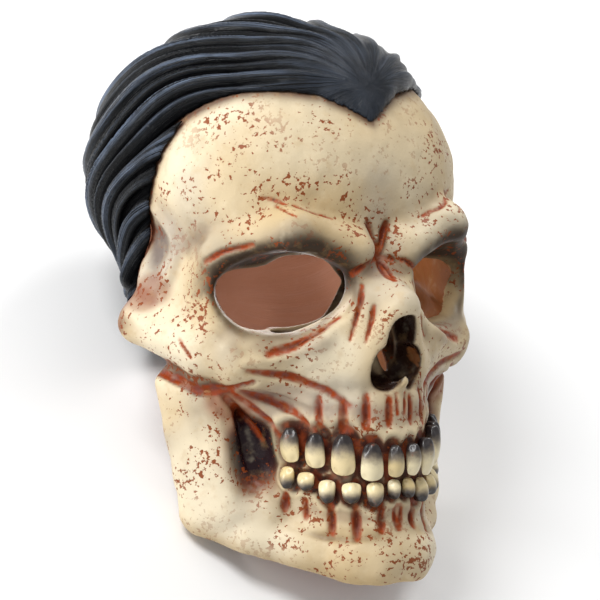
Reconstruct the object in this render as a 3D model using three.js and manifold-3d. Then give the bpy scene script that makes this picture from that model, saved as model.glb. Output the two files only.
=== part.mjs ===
// A skull mask that is worn over the whole head, in millimetres with +Z up.
// The mask is laid down as it rests by itself: on its two jaw corners and the rim of its nape, so that
// the face looks up at a slant. All forms are first made with the face looking along -Y.
import * as THREE from "three";
import Module from "manifold-3d";

const wasm = await Module();
wasm.setup();

// Driving dimensions. The width is over the cheek arches, the depth from the brow to the back of the
// head, and the height from the chin to the top of the skull under the hair.
const maskWidth = 200;
const maskDepth = 237;
const skullHeight = 289;
const wall = 3;
const hairWall = 4;
const lap = 10;
const gap = 0.3;
const nearestWall = 2.2;
const lockCount = 18;
const lockRelief = 2.6;
const upperToothHeight = 22;
const lowerToothHeight = 13;
const toothThickness = 8.5;
const toothSeat = 1.5;
const restFlat = 1.2;
const nostrilWidth = 5;

// Shares in the tables are hundredths: across of the width, back of the depth, up of the height.
// Radii of bars, blends and rounds are hundredths of the width.
const across = (share) => (share / 100) * maskWidth;
const back = (share) => (share / 100) * maskDepth;
const up = (share) => (share / 100) * skullHeight;

// Gives each row of a table its column names.
const table = (columns, rows) =>
  rows.map((row) => Object.fromEntries(columns.map((column, index) => [column, row[index]])));

const roundColumns = ["name", "x", "y", "z", "rx", "ry", "rz", "blend"];
const boneRounds = table(roundColumns, [
  ["cranium", 0, 45.9, 21, 44.6, 42.2, 24.8, 0],
  ["forehead", 0, 28.4, 18.8, 43.5, 26.6, 23.3, 5.4],
  ["head_side", 0, 35.8, 0.8, 47.3, 20.2, 16.5, 6.5],
  ["nape", 0, 50.5, -4.5, 33.7, 27.1, 18, 8.7],
  ["throat", 0, 35.8, -27.1, 30.4, 35.8, 29.3, 6.5],
  ["socket_wall", 30.4, 22, 0, 13.6, 11, 11.3, 4.3],
  ["cheekbone", 33.2, 17.4, -11.3, 8.2, 6.9, 6, 4.3],
  ["chin", 0, 4.6, -48.1, 16.3, 11, 6.4, 4.3],
]);
const hairRounds = table(roundColumns, [
  ["crown", 0, 46.3, 21, 47.8, 45, 29.3, 0],
  ["head_side", 0, 42.2, 1.5, 47.8, 18.3, 16.9, 8.7],
  ["nape", 0, 50.5, -4.5, 35.9, 28.4, 18.8, 8.7],
  ["quiff", 0, 20.2, 36.1, 23.9, 13.8, 9.8, 7.6],
]);
const hollows = table(roundColumns, [
  ["eye_socket", 27.2, 6.4, 0, 18.5, 13.8, 7.5, 2.7],
  ["temple", 50, 29.4, 5.3, 6.5, 9.2, 9.8, 4.3],
  ["mouth_corner", 29.3, 14.7, -30.1, 6, 7.3, 7.1, 2.2],
  ["frown", 0, -1.8, 8.3, 1.6, 3.7, 4.1, 1.6],
]);
// The pocket behind the nose, in three joined balls.
const nosePocket = table(roundColumns, [
  ["right_lobe", 3.4, -2.8, -13.8, 4.5, 6.4, 4.2, 0],
  ["left_lobe", -3.4, -2.8, -13.8, 4.5, 6.4, 4.2, 0],
  ["peak", 0, -5, -9.4, 4.4, 6.6, 6.2, 0],
]);
// A breathing slit on each side of the spine of the nose, from the pocket into the head.
const nostril = { x: 3.2, y: 4.6, z: -12.6, ry: 4.6, rz: 2.6 };
const drums = table(["name", "y", "z", "rx", "ry", "half", "round", "blend"], [
  ["upper_gum", 17.4, -25.2, 20.1, 22.5, 8.3, 5.4, 4.3],
  ["lower_gum", 18.3, -40.6, 20.7, 22, 6.8, 4.3, 4.3],
]);
const bars = table(["name", "x1", "y1", "z1", "r1", "x2", "y2", "z2", "r2", "blend"], [
  ["brow_inner", 8.2, 2.8, 7.1, 5.4, 25, 5.5, 10.5, 5.4, 5.4],
  ["brow_outer", 25, 5.5, 10.5, 5.4, 37, 17.4, 6.8, 4.3, 5.4],
  ["socket_side", 37, 17.4, 6.8, 4.3, 36.4, 17.9, -5.3, 4.3, 3.3],
  ["frown_root", 0, 6.4, 6.4, 4.3, 0, 5.5, 3, 4.3, 3.3],
  ["cheek_arch", 39.1, 22.9, -10.2, 7.6, 44.6, 40.4, -5.6, 6.5, 4.3],
  ["under_eye", 33.7, 13.8, -10.2, 4.9, 16.3, 6.4, -10.5, 5.4, 4.3],
  ["cheek_slope", 29.3, 19.3, -17.3, 4.9, 18.5, 14.7, -24.8, 4.9, 4.3],
  ["nose_side", 16.3, 6.4, -10.5, 5.4, 6.5, 2.8, 0.8, 4.3, 4.3],
  ["nose_bone", 0, 4.6, 2.3, 3.8, 0, -6, -2.6, 4.3, 3.3],
  ["nose_rim", 2.7, -5.5, -3.8, 2.7, 8.2, 0, -15, 3.8, 2.7],
  ["nose_spine", 0, -0.9, -17.3, 3.3, 0, -5.5, -15.8, 2.2, 2.7],
  ["jaw_front", 4.3, 0, -49.4, 6.8, 16.3, 11, -47.4, 5.7, 4.3],
  ["jaw_middle", 16.3, 11, -47.4, 5.7, 27.2, 20.2, -45.1, 5.2, 4.3],
  ["jaw_side", 27.2, 20.2, -45.1, 5.2, 33.7, 28, -42.5, 5.2, 4.3],
  ["jaw_branch_rear", 35.9, 30.7, -40.6, 4.6, 40.2, 33.5, -17.3, 5.2, 4.3],
  ["jaw_branch_front", 31.5, 22.9, -39.5, 4.3, 35.9, 23.9, -18.8, 4.3, 4.3],
  ["jaw_branch_plate", 33.7, 26.8, -40, 4.4, 38.2, 28.7, -18, 4.9, 4.3],
  ["nose_wall", 4.5, -0.6, -2, 3.2, 11.5, 2.6, -13.5, 4.6, 4.3],
  ["cheek_fold", 28, 13.2, -13.5, 4.8, 15, 8.2, -16.5, 4.8, 4.3],
]);

// Heights of the hairline and of the lower edge, by the angle round the head from the nose.
const edgeColumns = ["angle", "height"];
const hairline = table(edgeColumns, [
  [0, 30], [10, 33], [20, 35], [40, 36.1], [52, 35.7], [62, 34.2], [72, 31.6],
  [79, 26.7], [84, 21], [88, 16.5], [92, 11.3], [95, 1.5], [96, -22],
]);
const lowerEdge = table(edgeColumns, [
  [0, -53.2], [16, -52.8], [31, -50.4], [50, -48.3], [70, -45.3], [78, -44.7], [82.5, -40.6],
  [85, -27], [88, -15], [91, -11.5], [96, -10.2], [98, -6.8], [99, -1.1], [101, -3],
  [103, -5.6], [108, -7.5], [117, -9.4], [133, -11.6], [153, -15], [180, -16.2],
]);

// The eye hole seen from the front, from its inner corner. It is cut at a slant, from the temple's side
// towards the nose, and the outline is where the cut passes eyeDepth.
const eyeOutline = table(["x", "z"], [
  [3.6, 1.6], [8.2, 5.4], [12.7, 6.7], [17.9, 6.6], [22.9, 6.2], [28, 4.7], [33.7, 4.2], [38.9, 3.8],
  [42.6, 2.2], [43.3, -0.5], [40.4, -3.8], [35.2, -6.1], [29.5, -6.9], [23.5, -7.2], [17, -6.8],
  [10.3, -5.5], [7, -2.9], [5, -0.5],
]);
const eyeDepth = back(12.7);
const eyeSlant = Math.tan(THREE.MathUtils.degToRad(37));
// The parting between face and lower jaw, seen from the side, from the front teeth to the ear.
const parting = table(["y", "z"], [
  [-18, -33.6], [15.1, -33.6], [17.4, -30], [18.8, -22.6], [21.1, -18.8], [28.4, -16.5],
  [36.7, -13.2], [50, -11.3],
]);

// Teeth, from the middle out: place and width along the gum's arch as shares of half the arch, and
// height as a share of the row's tallest tooth.
const toothColumns = ["place", "width", "height"];
const upperTeeth = table(toothColumns, [
  [0.07, 0.14, 0.78], [0.23, 0.18, 0.92], [0.42, 0.195, 1], [0.625, 0.175, 0.85], [0.84, 0.19, 0.84],
]);
const lowerTeeth = table(toothColumns, [
  [0.057, 0.112, 0.8], [0.19, 0.14, 1], [0.345, 0.155, 0.85],
  [0.51, 0.14, 0.95], [0.67, 0.15, 0.75], [0.825, 0.135, 0.9],
]);
// The line where the two rows meet, along the same arch.
const biteLine = table(["place", "height"], [
  [0, -33.6], [0.2, -34.3], [0.4, -34.2], [0.55, -32.8], [0.7, -31.9], [0.85, -31.2], [1, -30.8],
]);

// The rings of a tooth from its root to its biting edge, as shares of half its height and of its girth.
const toothRings = table(["level", "girth"], [[-0.93, 0.62], [0, 0.97], [0.93, 0.86]]);
const toothSquareness = 0.5;

// Fields: negative inside a form, rising by about 1 a millimetre.
function roundField(row, x, y, z) {
  const radius = [across(row.rx), back(row.ry), up(row.rz)];
  const from = [x - across(row.x), y - back(row.y), z - up(row.z)];
  const reach = Math.hypot(...from.map((value, axis) => value / radius[axis]));
  const slope = Math.hypot(...from.map((value, axis) => value / radius[axis] ** 2));
  return slope > 0 ? (reach * (reach - 1)) / slope : -Math.min(...radius);
}

function barField(row, x, y, z) {
  const start = [across(row.x1), back(row.y1), up(row.z1)];
  const run = [across(row.x2) - start[0], back(row.y2) - start[1], up(row.z2) - start[2]];
  const from = [x - start[0], y - start[1], z - start[2]];
  const dot = from[0] * run[0] + from[1] * run[1] + from[2] * run[2];
  const along = Math.min(1, Math.max(0, dot / (run[0] ** 2 + run[1] ** 2 + run[2] ** 2)));
  const away = Math.hypot(from[0] - along * run[0], from[1] - along * run[1], from[2] - along * run[2]);
  return away - across(row.r1 + along * (row.r2 - row.r1));
}

function drumField(row, x, y, z) {
  const [rx, ry] = [across(row.rx), back(row.ry)];
  const from = y - back(row.y);
  const reach = Math.hypot(x / rx, from / ry);
  const slope = Math.hypot(x / rx ** 2, from / ry ** 2);
  const side = slope > 0 ? (reach * (reach - 1)) / slope : -Math.min(rx, ry);
  return -blendMin(-side, up(row.half) - Math.abs(z - up(row.z)), across(row.round));
}

function blendMin(a, b, blend) {
  const share = Math.max(blend - Math.abs(a - b), 0) / Math.max(blend, 1e-6);
  return Math.min(a, b) - (share * share * blend) / 4;
}

function boneField(x, y, z) {
  const side = Math.abs(x);
  let field = Infinity;
  for (const [rows, shape] of [[boneRounds, roundField], [drums, drumField], [bars, barField]]) {
    for (const row of rows) {
      field = blendMin(field, shape(row, side, y, z), across(row.blend));
    }
  }
  for (const row of hollows) {
    field = -blendMin(-field, roundField(row, side, y, z), across(row.blend));
  }
  return field;
}

function hairField(x, y, z) {
  let field = Infinity;
  for (const row of hairRounds) {
    field = blendMin(field, roundField(row, Math.abs(x), y, z), across(row.blend));
  }
  return field;
}

// Rays. The bone is sampled from a spine inside the head, the hair from the middle of the crown.
const spine = new THREE.Vector2(back(39), up(22.6));
const farthest = skullHeight;
const tolerance = 0.01;
const mostSteps = 220;
const stepShare = 0.55;

// Walks inwards along a ray until it meets the form.
function firstSurface(field, level, origin, direction) {
  let reach = farthest;
  for (let step = 0; step < mostSteps; step += 1) {
    const at = [0, 1, 2].map((axis) => origin[axis] + reach * direction[axis]);
    const away = field(...at) - level;
    if (away < tolerance || reach < wall) break;
    reach -= Math.max(stepShare * away, tolerance);
  }
  return Math.max(reach, wall);
}

const radians = THREE.MathUtils.degToRad;

function spineRay(angle, station) {
  const tilt = radians(Math.max(station, 0));
  const drop = Math.min(station, 0);
  const direction = [
    Math.cos(tilt) * Math.sin(radians(angle)),
    -Math.cos(tilt) * Math.cos(radians(angle)),
    Math.sin(tilt),
  ];
  return { origin: [0, spine.x, spine.y + drop], direction };
}

// A closed solid over a grid of rays: one row of vertices for each station, and a pole at each end.
function closedSolid(rows, firstPole, lastPole) {
  const count = rows[0].length;
  const points = [firstPole, ...rows.flat(), lastPole];
  const last = points.length - 1;
  const faces = [];
  for (let row = 0; row < rows.length; row += 1) {
    for (let column = 0; column < count; column += 1) {
      const next = (column + 1) % count;
      const here = 1 + row * count;
      const below = here + count;
      if (row === 0) faces.push(0, here + column, here + next);
      if (row === rows.length - 1) {
        faces.push(last, here + next, here + column);
      } else {
        faces.push(here + column, below + column, below + next);
        faces.push(here + column, below + next, here + next);
      }
    }
  }
  const mesh = new wasm.Mesh({
    numProp: 3,
    vertProperties: new Float32Array(points.flat()),
    triVerts: new Uint32Array(faces),
  });
  return new wasm.Manifold(mesh);
}

// Angles round the head: fine steps in front, coarse ones behind, the same on both sides.
function angles(steps) {
  const half = [];
  let angle = 0;
  for (const [until, step] of steps) {
    while (angle < until - 1e-6) {
      half.push(angle);
      angle += step;
    }
    angle = until;
  }
  const mirrored = half.slice(1).map((value) => 360 - value).reverse();
  return [...half, 180, ...mirrored];
}

function heightIn(rows, column, value) {
  const next = rows.findIndex((row) => row[column] >= value);
  if (next < 0) return up(rows.at(-1).height);
  if (next === 0) return up(rows[0].height);
  const [low, high] = [rows[next - 1], rows[next]];
  const share = (value - low[column]) / (high[column] - low[column]);
  return up(low.height + share * (high.height - low.height));
}

const heightAt = (rows, angle) => heightIn(rows, "angle", Math.min(angle, 360 - angle));

const stations = (from, to, count) =>
  Array.from({ length: count + 1 }, (_, index) => from + ((to - from) * index) / count);

// A station above zero is a tilt of the ray in degrees, and one below zero is a way down the spine.
const domeTilt = 80;
const gridFloor = up(-56);
const bottomStation = gridFloor - spine.y;

function spineGrid(columns, rows, reachOf) {
  const dome = stations(domeTilt, 0, rows.dome);
  const sides = stations(0, bottomStation, rows.sides).slice(1);
  return [...dome, ...sides].map((station) => columns.map((angle) => {
    const { origin, direction } = spineRay(angle, station);
    const reach = reachOf(angle, station);
    return [0, 1, 2].map((axis) => origin[axis] + reach * direction[axis]);
  }));
}

function boneReach(angle, station) {
  const { origin, direction } = spineRay(angle, station);
  return firstSurface(boneField, 0, origin, direction);
}

// Evens out a grid of points on the bone: each moves halfway to the middle of its four neighbours and
// back to the surface. The rows under the chin stay level.
const levelRows = up(-52);

function relaxed(grid, rounds) {
  let rows = grid;
  const count = grid[0].length;
  for (let round = 0; round < rounds; round += 1) {
    rows = rows.map((row, level) => row.map((point, column) => {
      if (level === 0 || point[2] < levelRows) return point;
      const near = [rows[level - 1][column], rows[level + 1][column],
        row[(column + 1) % count], row[(column + count - 1) % count]];
      const middle = point.map((value, axis) =>
        value / 2 + near.reduce((sum, other) => sum + other[axis], 0) / (2 * near.length));
      return onBone(middle, 0);
    }));
  }
  return rows;
}

const probe = 0.05;
const flattestSlope = 0.3;

function onBone(point, level) {
  let at = point;
  for (let step = 0; step < 3; step += 1) {
    const away = boneField(...at) - level;
    const slope = [0, 1, 2].map((axis) => {
      const ahead = at.map((value, index) => value + (index === axis ? probe : 0));
      return (boneField(...ahead) - level - away) / probe;
    });
    const length = Math.max(Math.hypot(...slope), flattestSlope);
    at = at.map((value, axis) => value - (away * slope[axis]) / length ** 2);
  }
  return at;
}

function spineSolid(grid, top) {
  return closedSolid(grid, [0, spine.x, top], [0, spine.x, spine.y + bottomStation]);
}

// The inner hollow keeps a wall to the outside and to the nose pocket. It takes the nearest of the
// surfaces round each ray, so that the wall holds between rays too, and is open at the lower edge.
const rollHeight = up(3.2);
const nearbyAngles = [-5, -2, 0, 2, 5];
const nearbyStations = [-6, -2, 2, 6];

function wallField(x, y, z) {
  const pocket = Math.min(...nosePocket.map((row) => roundField(row, x, y, z)));
  return Math.max(boneField(x, y, z), -pocket);
}

function hollowReach(angle, station) {
  const edgeOf = (turned) => Math.min(heightAt(lowerEdge, turned) - spine.y, 0);
  let nearest = Infinity;
  for (const turn of nearbyAngles) {
    const turned = (angle + turn + 360) % 360;
    for (const shift of nearbyStations) {
      nearest = Math.min(nearest, boneReach(turned, Math.max(station + shift, edgeOf(turned))));
    }
  }
  const held = spineRay(angle, Math.max(station, Math.min(edgeOf(angle) + rollHeight, 0)));
  const inner = firstSurface(wallField, -wall, held.origin, held.direction);
  return Math.min(inner, Math.max(nearest - nearestWall, wall));
}

// Everything below an edge round the head, down to a floor that is lower than the mask. Under the
// middle of the head the edge levels out.
const floor = up(-60);
const hub = across(15);
const edgeAngles = angles([[12, 6], [72, 10], [104, 3.2], [180, 15]]);

function belowEdge(rows, shift) {
  const ring = (radius, height) => edgeAngles.map((angle) => [
    radius * Math.sin(radians(angle)),
    spine.x - radius * Math.cos(radians(angle)),
    height(angle),
  ]);
  const edge = (angle) => Math.max(heightAt(rows, angle) + shift, floor + wall);
  return closedSolid(
    [ring(hub, edge), ring(farthest, edge), ring(farthest, () => floor)],
    [0, spine.x, floor + 2 * wall],
    [0, spine.x, floor],
  );
}

// Hair. Locks fan out from the widow's peak, run over the crown and meet again at the nape.
const crownMiddle = [0, back(45.9), up(14)];
const lockAxis = Math.atan2(up(38), back(70));
const ridgeMiddle = 0.6;
const ballSides = [12, 7];

function ball(row) {
  const geometry = new THREE.SphereGeometry(1, ...ballSides);
  geometry.scale(across(row.rx), back(row.ry), up(row.rz));
  geometry.translate(across(row.x), back(row.y), up(row.z));
  return fromGeometry(geometry);
}

function hairSolid(level, columns, rowCount, relief) {
  const [cosine, sine] = [Math.cos(lockAxis), Math.sin(lockAxis)];
  const surface = (turn, polar) => {
    const ahead = -Math.cos(radians(polar));
    const [side, rise] = [Math.sin(radians(polar)) * Math.sin(radians(turn)),
      Math.sin(radians(polar)) * Math.cos(radians(turn))];
    const direction = [side, ahead * cosine + rise * sine, rise * cosine - ahead * sine];
    const bare = firstSurface(hairField, level, crownMiddle, direction);
    const ridge = Math.abs(Math.cos(radians(turn) * lockCount / 2));
    const reach = bare + relief * (ridge - ridgeMiddle) * Math.sin(radians(polar));
    return crownMiddle.map((value, axis) => value + reach * direction[axis]);
  };
  const polars = stations(0, 180, rowCount).slice(1, -1);
  const rows = polars.map((polar) => columns.map((turn) => surface(turn, polar)));
  return closedSolid(rows.map((row) => row.reverse()), surface(0, 0), surface(0, 180));
}

// Outlines are extruded along X or Y.
function extruded(points, from, depth, turn) {
  const shape = new THREE.Shape(points.map(([a, b]) => new THREE.Vector2(a, b)));
  const geometry = new THREE.ExtrudeGeometry(shape, { depth, bevelEnabled: false, steps: 1 });
  geometry.translate(0, 0, from);
  geometry.applyMatrix4(turn);
  return fromGeometry(geometry);
}

function fromGeometry(geometry) {
  const position = geometry.getAttribute("position");
  const seen = new Map();
  const points = [];
  const faces = [];
  const order = geometry.index ? Array.from(geometry.index.array) : [...Array(position.count).keys()];
  for (const index of order) {
    const point = [position.getX(index), position.getY(index), position.getZ(index)];
    const key = point.map((value) => value.toFixed(4)).join();
    if (!seen.has(key)) {
      seen.set(key, seen.size);
      points.push(...point);
    }
    faces.push(seen.get(key));
  }
  const mesh = new wasm.Mesh({
    numProp: 3,
    vertProperties: new Float32Array(points),
    triVerts: new Uint32Array(faces),
  });
  return new wasm.Manifold(mesh);
}

const xAxisFromSide = new THREE.Matrix4().makeBasis(
  new THREE.Vector3(0, 1, 0), new THREE.Vector3(0, 0, 1), new THREE.Vector3(1, 0, 0),
);
const yAxisFromFront = new THREE.Matrix4().makeBasis(
  new THREE.Vector3(-1, 0, 0), new THREE.Vector3(0, 0, 1), new THREE.Vector3(0, 1, 0),
);

// The cut for an eye starts in front of the brow and ends inside the head.
const eyeCutStart = -back(25);
const eyeCutDepth = back(55);
const eyeSides = 22;

function eyeHole(sign) {
  const points = eyeOutline.map((row) => new THREE.Vector3(across(row.x), up(row.z), 0));
  const curve = new THREE.CatmullRomCurve3(points, true);
  const outline = curve.getPoints(eyeSides).slice(0, -1).map((point) => [-sign * point.x, point.y]);
  const ordered = sign > 0 ? outline.reverse() : outline;
  return extruded(ordered, eyeCutStart, eyeCutDepth, yAxisFromFront).warp((point) => {
    point[0] -= Math.sign(point[0]) * eyeSlant * (point[1] - eyeDepth);
  });
}

function jawRegion(shift) {
  const line = parting.map((row) => [back(row.y), up(row.z) + shift]);
  const [front, rear] = [line[0][0], line.at(-1)[0]];
  const outline = [[front, 1.1 * floor], [rear, 1.1 * floor], ...line.reverse()];
  return extruded(outline, -maskWidth, 2 * maskWidth, xAxisFromSide);
}

// Teeth stand on the arch of their gum, each a rounded block that narrows towards its root.
const archSteps = 90;
const quarterTurn = Math.PI / 2;

function archPoint(row, share) {
  const [rx, ry] = [across(row.rx), back(row.ry)];
  const arc = [0];
  const at = (turn) => [rx * Math.sin(turn), back(row.y) - ry * Math.cos(turn)];
  for (let step = 1; step <= archSteps; step += 1) {
    const [a, b] = [step - 1, step].map((count) => at((count / archSteps) * quarterTurn));
    arc.push(arc.at(-1) + Math.hypot(b[0] - a[0], b[1] - a[1]));
  }
  const wanted = share * arc.at(-1);
  const index = Math.max(1, arc.findIndex((length) => length >= wanted));
  const part = (wanted - arc[index - 1]) / (arc[index] - arc[index - 1]);
  const turn = ((index - 1 + part) / archSteps) * quarterTurn;
  const [x, y] = at(turn);
  const normal = new THREE.Vector2(Math.sin(turn) / rx, -Math.cos(turn) / ry).normalize();
  return { x, y, normal, length: arc.at(-1) };
}

const toothSides = 8;

function toothSolid(place, size, sign, rootUp) {
  const turns = stations(0, 360, toothSides).slice(0, -1);
  const square = (value) => Math.sign(value) * Math.abs(value) ** toothSquareness;
  const point = (ring, turn) => {
    const level = rootUp ? -ring.level : ring.level;
    const side = (size.width / 2) * ring.girth * square(Math.sin(radians(turn)));
    const out = (size.depth / 2) * ring.girth * square(Math.cos(radians(turn)));
    const x = place.x - side * place.normal.y + out * place.normal.x;
    const y = place.y + side * place.normal.x + out * place.normal.y;
    return [sign * x, y, place.z + (size.height / 2) * level];
  };
  const ordered = rootUp ? toothRings : [...toothRings].reverse();
  const rows = ordered.map((ring) => turns.map((turn) => point(ring, turn)));
  const [top, bottom] = [1, -1].map((level) => [
    sign * place.x, place.y, place.z + (size.height / 2) * level,
  ]);
  return closedSolid(sign > 0 ? rows : rows.map((row) => row.reverse()), top, bottom);
}

// Names and places of one row of teeth, counted across the mouth.
function toothRow(name, rows, gum, tallest, rootUp) {
  const teeth = [];
  for (const sign of [-1, 1]) {
    rows.forEach((row, index) => {
      const arch = archPoint(gum, row.place);
      const height = row.height * tallest;
      const span = [-0.5, 0, 0.5].map((side) =>
        heightIn(biteLine, "place", row.place + side * row.width));
      const z = rootUp
        ? Math.max(...span) + (gap + height) / 2
        : Math.min(...span) - (gap + height) / 2;
      const rayAngle = THREE.MathUtils.radToDeg(Math.atan2(arch.x, spine.x - arch.y));
      const { origin, direction } = spineRay(rayAngle, z - spine.y);
      const reach = firstSurface(boneField, 0, origin, direction);
      const outward = toothThickness / 2 - toothSeat;
      const place = {
        x: origin[0] + reach * direction[0] + outward * arch.normal.x,
        y: origin[1] + reach * direction[1] + outward * arch.normal.y,
        z,
        normal: arch.normal,
      };
      const size = {
        width: row.width * arch.length - gap,
        depth: toothThickness,
        height,
      };
      const number = sign < 0 ? rows.length - index : rows.length + 1 + index;
      const solid = toothSolid(place, size, sign, rootUp).subtract(grownBone);
      teeth.push({ name: `${name}_${number}`, solid });
    });
  }
  return teeth;
}

// Shells
// Angles are pairs of an end and the step up to it. Rows are counted over the dome and down the sides.
const faceColumns = angles([[24, 3], [60, 4], [100, 5], [180, 27]]);
const innerColumns = angles([[60, 7.5], [102, 7], [180, 26]]);
const faceRows = { dome: 8, sides: 30 };
const innerRows = { dome: 6, sides: 17 };
const relaxRounds = 6;
const boneTop = up(46);
const boneGrid = relaxed(spineGrid(faceColumns, faceRows, boneReach), relaxRounds);
const outerBone = spineSolid(boneGrid, boneTop);
const grownGrid = boneGrid.map((row) => row.map((point) => onBone(point, gap)));
const grownBone = spineSolid(grownGrid, boneTop + gap);
const boneHollow = spineSolid(spineGrid(innerColumns, innerRows, hollowReach), boneTop - wall);
const underEdge = belowEdge(lowerEdge, 0);
const boneShell = outerBone.subtract(boneHollow).subtract(underEdge);

const upperRow = toothRow("upper_tooth", upperTeeth, drums[0], upperToothHeight, true);
const lowerRow = toothRow("lower_tooth", lowerTeeth, drums[1], lowerToothHeight, false);

const eyes = eyeHole(1).add(eyeHole(-1));
const nostrilRadius = (nostrilWidth / 2 / maskWidth) * 100;
const nostrils = [-1, 1].map((side) => ball({ ...nostril, x: side * nostril.x, rx: nostrilRadius }));
const pocket = [...nosePocket.map(ball), ...nostrils].reduce((whole, part) => whole.add(part));
const wholeFace = boneShell.intersect(belowEdge(hairline, lap)).subtract(eyes).subtract(pocket);
const faceShell = wholeFace.subtract(jawRegion(gap));
const lowerJaw = wholeFace.intersect(jawRegion(0));

const lockColumns = stations(0, 360, lockCount * 2).slice(0, -1);
const hairRows = 13;
const liningColumns = stations(0, 360, 20).slice(0, -1);
const liningRows = 8;
const hairOuter = hairSolid(0, lockColumns, hairRows, lockRelief);
const hairHollow = hairSolid(-hairWall, liningColumns, liningRows, 0);
const headRegion = belowEdge(hairline, 0);
const lapRegion = belowEdge(hairline, lap + gap);
const hairShell = hairOuter.subtract(hairHollow);
const hairRim = hairOuter.subtract(grownBone).intersect(lapRegion);
const hairCap = hairShell.add(hairRim).subtract(headRegion).subtract(underEdge)
  .subtract(grownBone.intersect(lapRegion));

// The largest body of a solid, without the crumbs that a cut can leave.
function mainBody(solid) {
  const bodies = solid.decompose();
  return bodies.reduce((best, body) => (body.volume() > best.volume() ? body : best));
}

function toGeometry(solid) {
  const mesh = solid.getMesh();
  const geometry = new THREE.BufferGeometry();
  geometry.setAttribute("position", new THREE.BufferAttribute(Float32Array.from(mesh.vertProperties), 3));
  geometry.setIndex(Array.from(mesh.triVerts));
  geometry.computeVertexNormals();
  return geometry;
}

const finishes = {
  bone: { color: 0xdccba6, roughness: 0.55, metalness: 0 },
  hair: { color: 0x17191d, roughness: 0.4, metalness: 0 },
  tooth: { color: 0xd9cfae, roughness: 0.35, metalness: 0 },
};

// The mask rests on its jaw corners and its nape. The tilt is the slope of the line that touches both
// from below, and a thin slice is taken off there, as soft edges flatten where they bear.
const jawLimit = back(45);
const napeLimit = back(55);
const firstTilt = radians(36);
const tiltRounds = 6;

function restLine(solids) {
  const profile = [];
  for (const solid of solids) {
    const { vertProperties } = solid.getMesh();
    for (let index = 0; index < vertProperties.length; index += 3) {
      profile.push([vertProperties[index + 1], vertProperties[index + 2]]);
    }
  }
  const jaw = profile.filter(([y]) => y < jawLimit);
  const nape = profile.filter(([y]) => y > napeLimit);
  let tilt = firstTilt;
  let corner = jaw[0];
  for (let round = 0; round < tiltRounds; round += 1) {
    const low = ([y, z]) => z * Math.cos(tilt) - y * Math.sin(tilt);
    corner = jaw.reduce((best, point) => (low(point) < low(best) ? point : best));
    tilt = Math.min(...nape.map(([y, z]) => Math.atan2(z - corner[1], y - corner[0])));
  }
  return { tilt, corner };
}

function underFloor({ tilt, corner }) {
  const along = [Math.cos(tilt), Math.sin(tilt)];
  const upward = [-Math.sin(tilt), Math.cos(tilt)];
  const place = ([run, rise]) =>
    [0, 1].map((axis) => corner[axis] + run * along[axis] + rise * upward[axis]);
  const reach = 2 * skullHeight;
  const outline = [[-reach, -reach], [reach, -reach], [reach, restFlat], [-reach, restFlat]];
  return extruded(outline.map(place), -maskWidth, 2 * maskWidth, xAxisFromSide);
}

const mask = new THREE.Group();

function addPiece(name, solid, finish) {
  const piece = new THREE.Mesh(toGeometry(solid), new THREE.MeshStandardMaterial(finishes[finish]));
  piece.name = name;
  mask.add(piece);
}

const face = mainBody(faceShell);
const rest = restLine([lowerJaw, hairCap].map(mainBody));
const floorCut = underFloor(rest);
addPiece("face_shell", face, "bone");
addPiece("lower_jaw", mainBody(lowerJaw.subtract(floorCut)), "bone");
addPiece("hair_cap", mainBody(hairCap.subtract(floorCut)), "hair");
for (const tooth of [...upperRow, ...lowerRow]) addPiece(tooth.name, tooth.solid, "tooth");

// The origin is under the middle of the box, on the surface that the mask lies on.
mask.rotation.x = -rest.tilt;
mask.updateMatrixWorld(true);
const box = new THREE.Box3().setFromObject(mask, true);
const middle = box.getCenter(new THREE.Vector3());
mask.position.set(-middle.x, -middle.y, -box.min.z);

const group = new THREE.Group();
group.add(mask);

export default group;
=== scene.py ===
# %% [markdown]
# A skull mask, cast in latex and painted by hand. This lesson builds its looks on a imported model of
# the real sizes: a sculpted bone face and jaw, a cap of moulded hair, and two rows of teeth. The mask
# lies by itself on its jaw corners and the rim of its nape, so everything is first shaped with the
# face looking along -Y, in millimetres, and then laid down.

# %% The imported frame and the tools
import math
from types import SimpleNamespace

import bpy
import numpy as np
import openvdb
from mathutils import Matrix, Vector
from mathutils.bvhtree import BVHTree
from mathutils.kdtree import KDTree


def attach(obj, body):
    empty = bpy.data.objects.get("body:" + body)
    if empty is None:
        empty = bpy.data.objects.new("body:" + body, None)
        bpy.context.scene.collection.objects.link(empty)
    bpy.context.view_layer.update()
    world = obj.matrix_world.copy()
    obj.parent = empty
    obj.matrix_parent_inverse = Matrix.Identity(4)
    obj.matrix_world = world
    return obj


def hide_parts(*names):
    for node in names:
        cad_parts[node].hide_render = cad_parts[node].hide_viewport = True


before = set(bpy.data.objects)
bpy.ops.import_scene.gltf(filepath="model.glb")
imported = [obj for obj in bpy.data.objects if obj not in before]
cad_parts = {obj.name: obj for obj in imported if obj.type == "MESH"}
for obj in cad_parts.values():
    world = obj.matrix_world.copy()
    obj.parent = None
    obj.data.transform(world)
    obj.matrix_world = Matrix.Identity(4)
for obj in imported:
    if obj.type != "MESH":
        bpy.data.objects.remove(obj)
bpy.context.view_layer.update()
print("frame", sorted(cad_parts)[:3], "of", len(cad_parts))

# %% [markdown]
# Lengths that follow the size of the mask are hundredths of three real sizes: the width over the cheek
# arches, the depth from the brow to the back of the head, and the height from the chin to the top of
# the skull. Real lengths, such as a gap, are millimetres. The mask is tilted to lie down, and then moved
# so that the origin is on the ground under its middle.

# %% Sizes and the way the mask lies
MM = 0.001
MASK_WIDTH = 200
MASK_DEPTH = 237
SKULL_HEIGHT = 289
GAP = 0.3
REST_TILT = math.radians(42.854)
REST_PLACE = (0.0, -53.979, 149.275)


def across(share):
    return share / 100 * MASK_WIDTH


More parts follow.
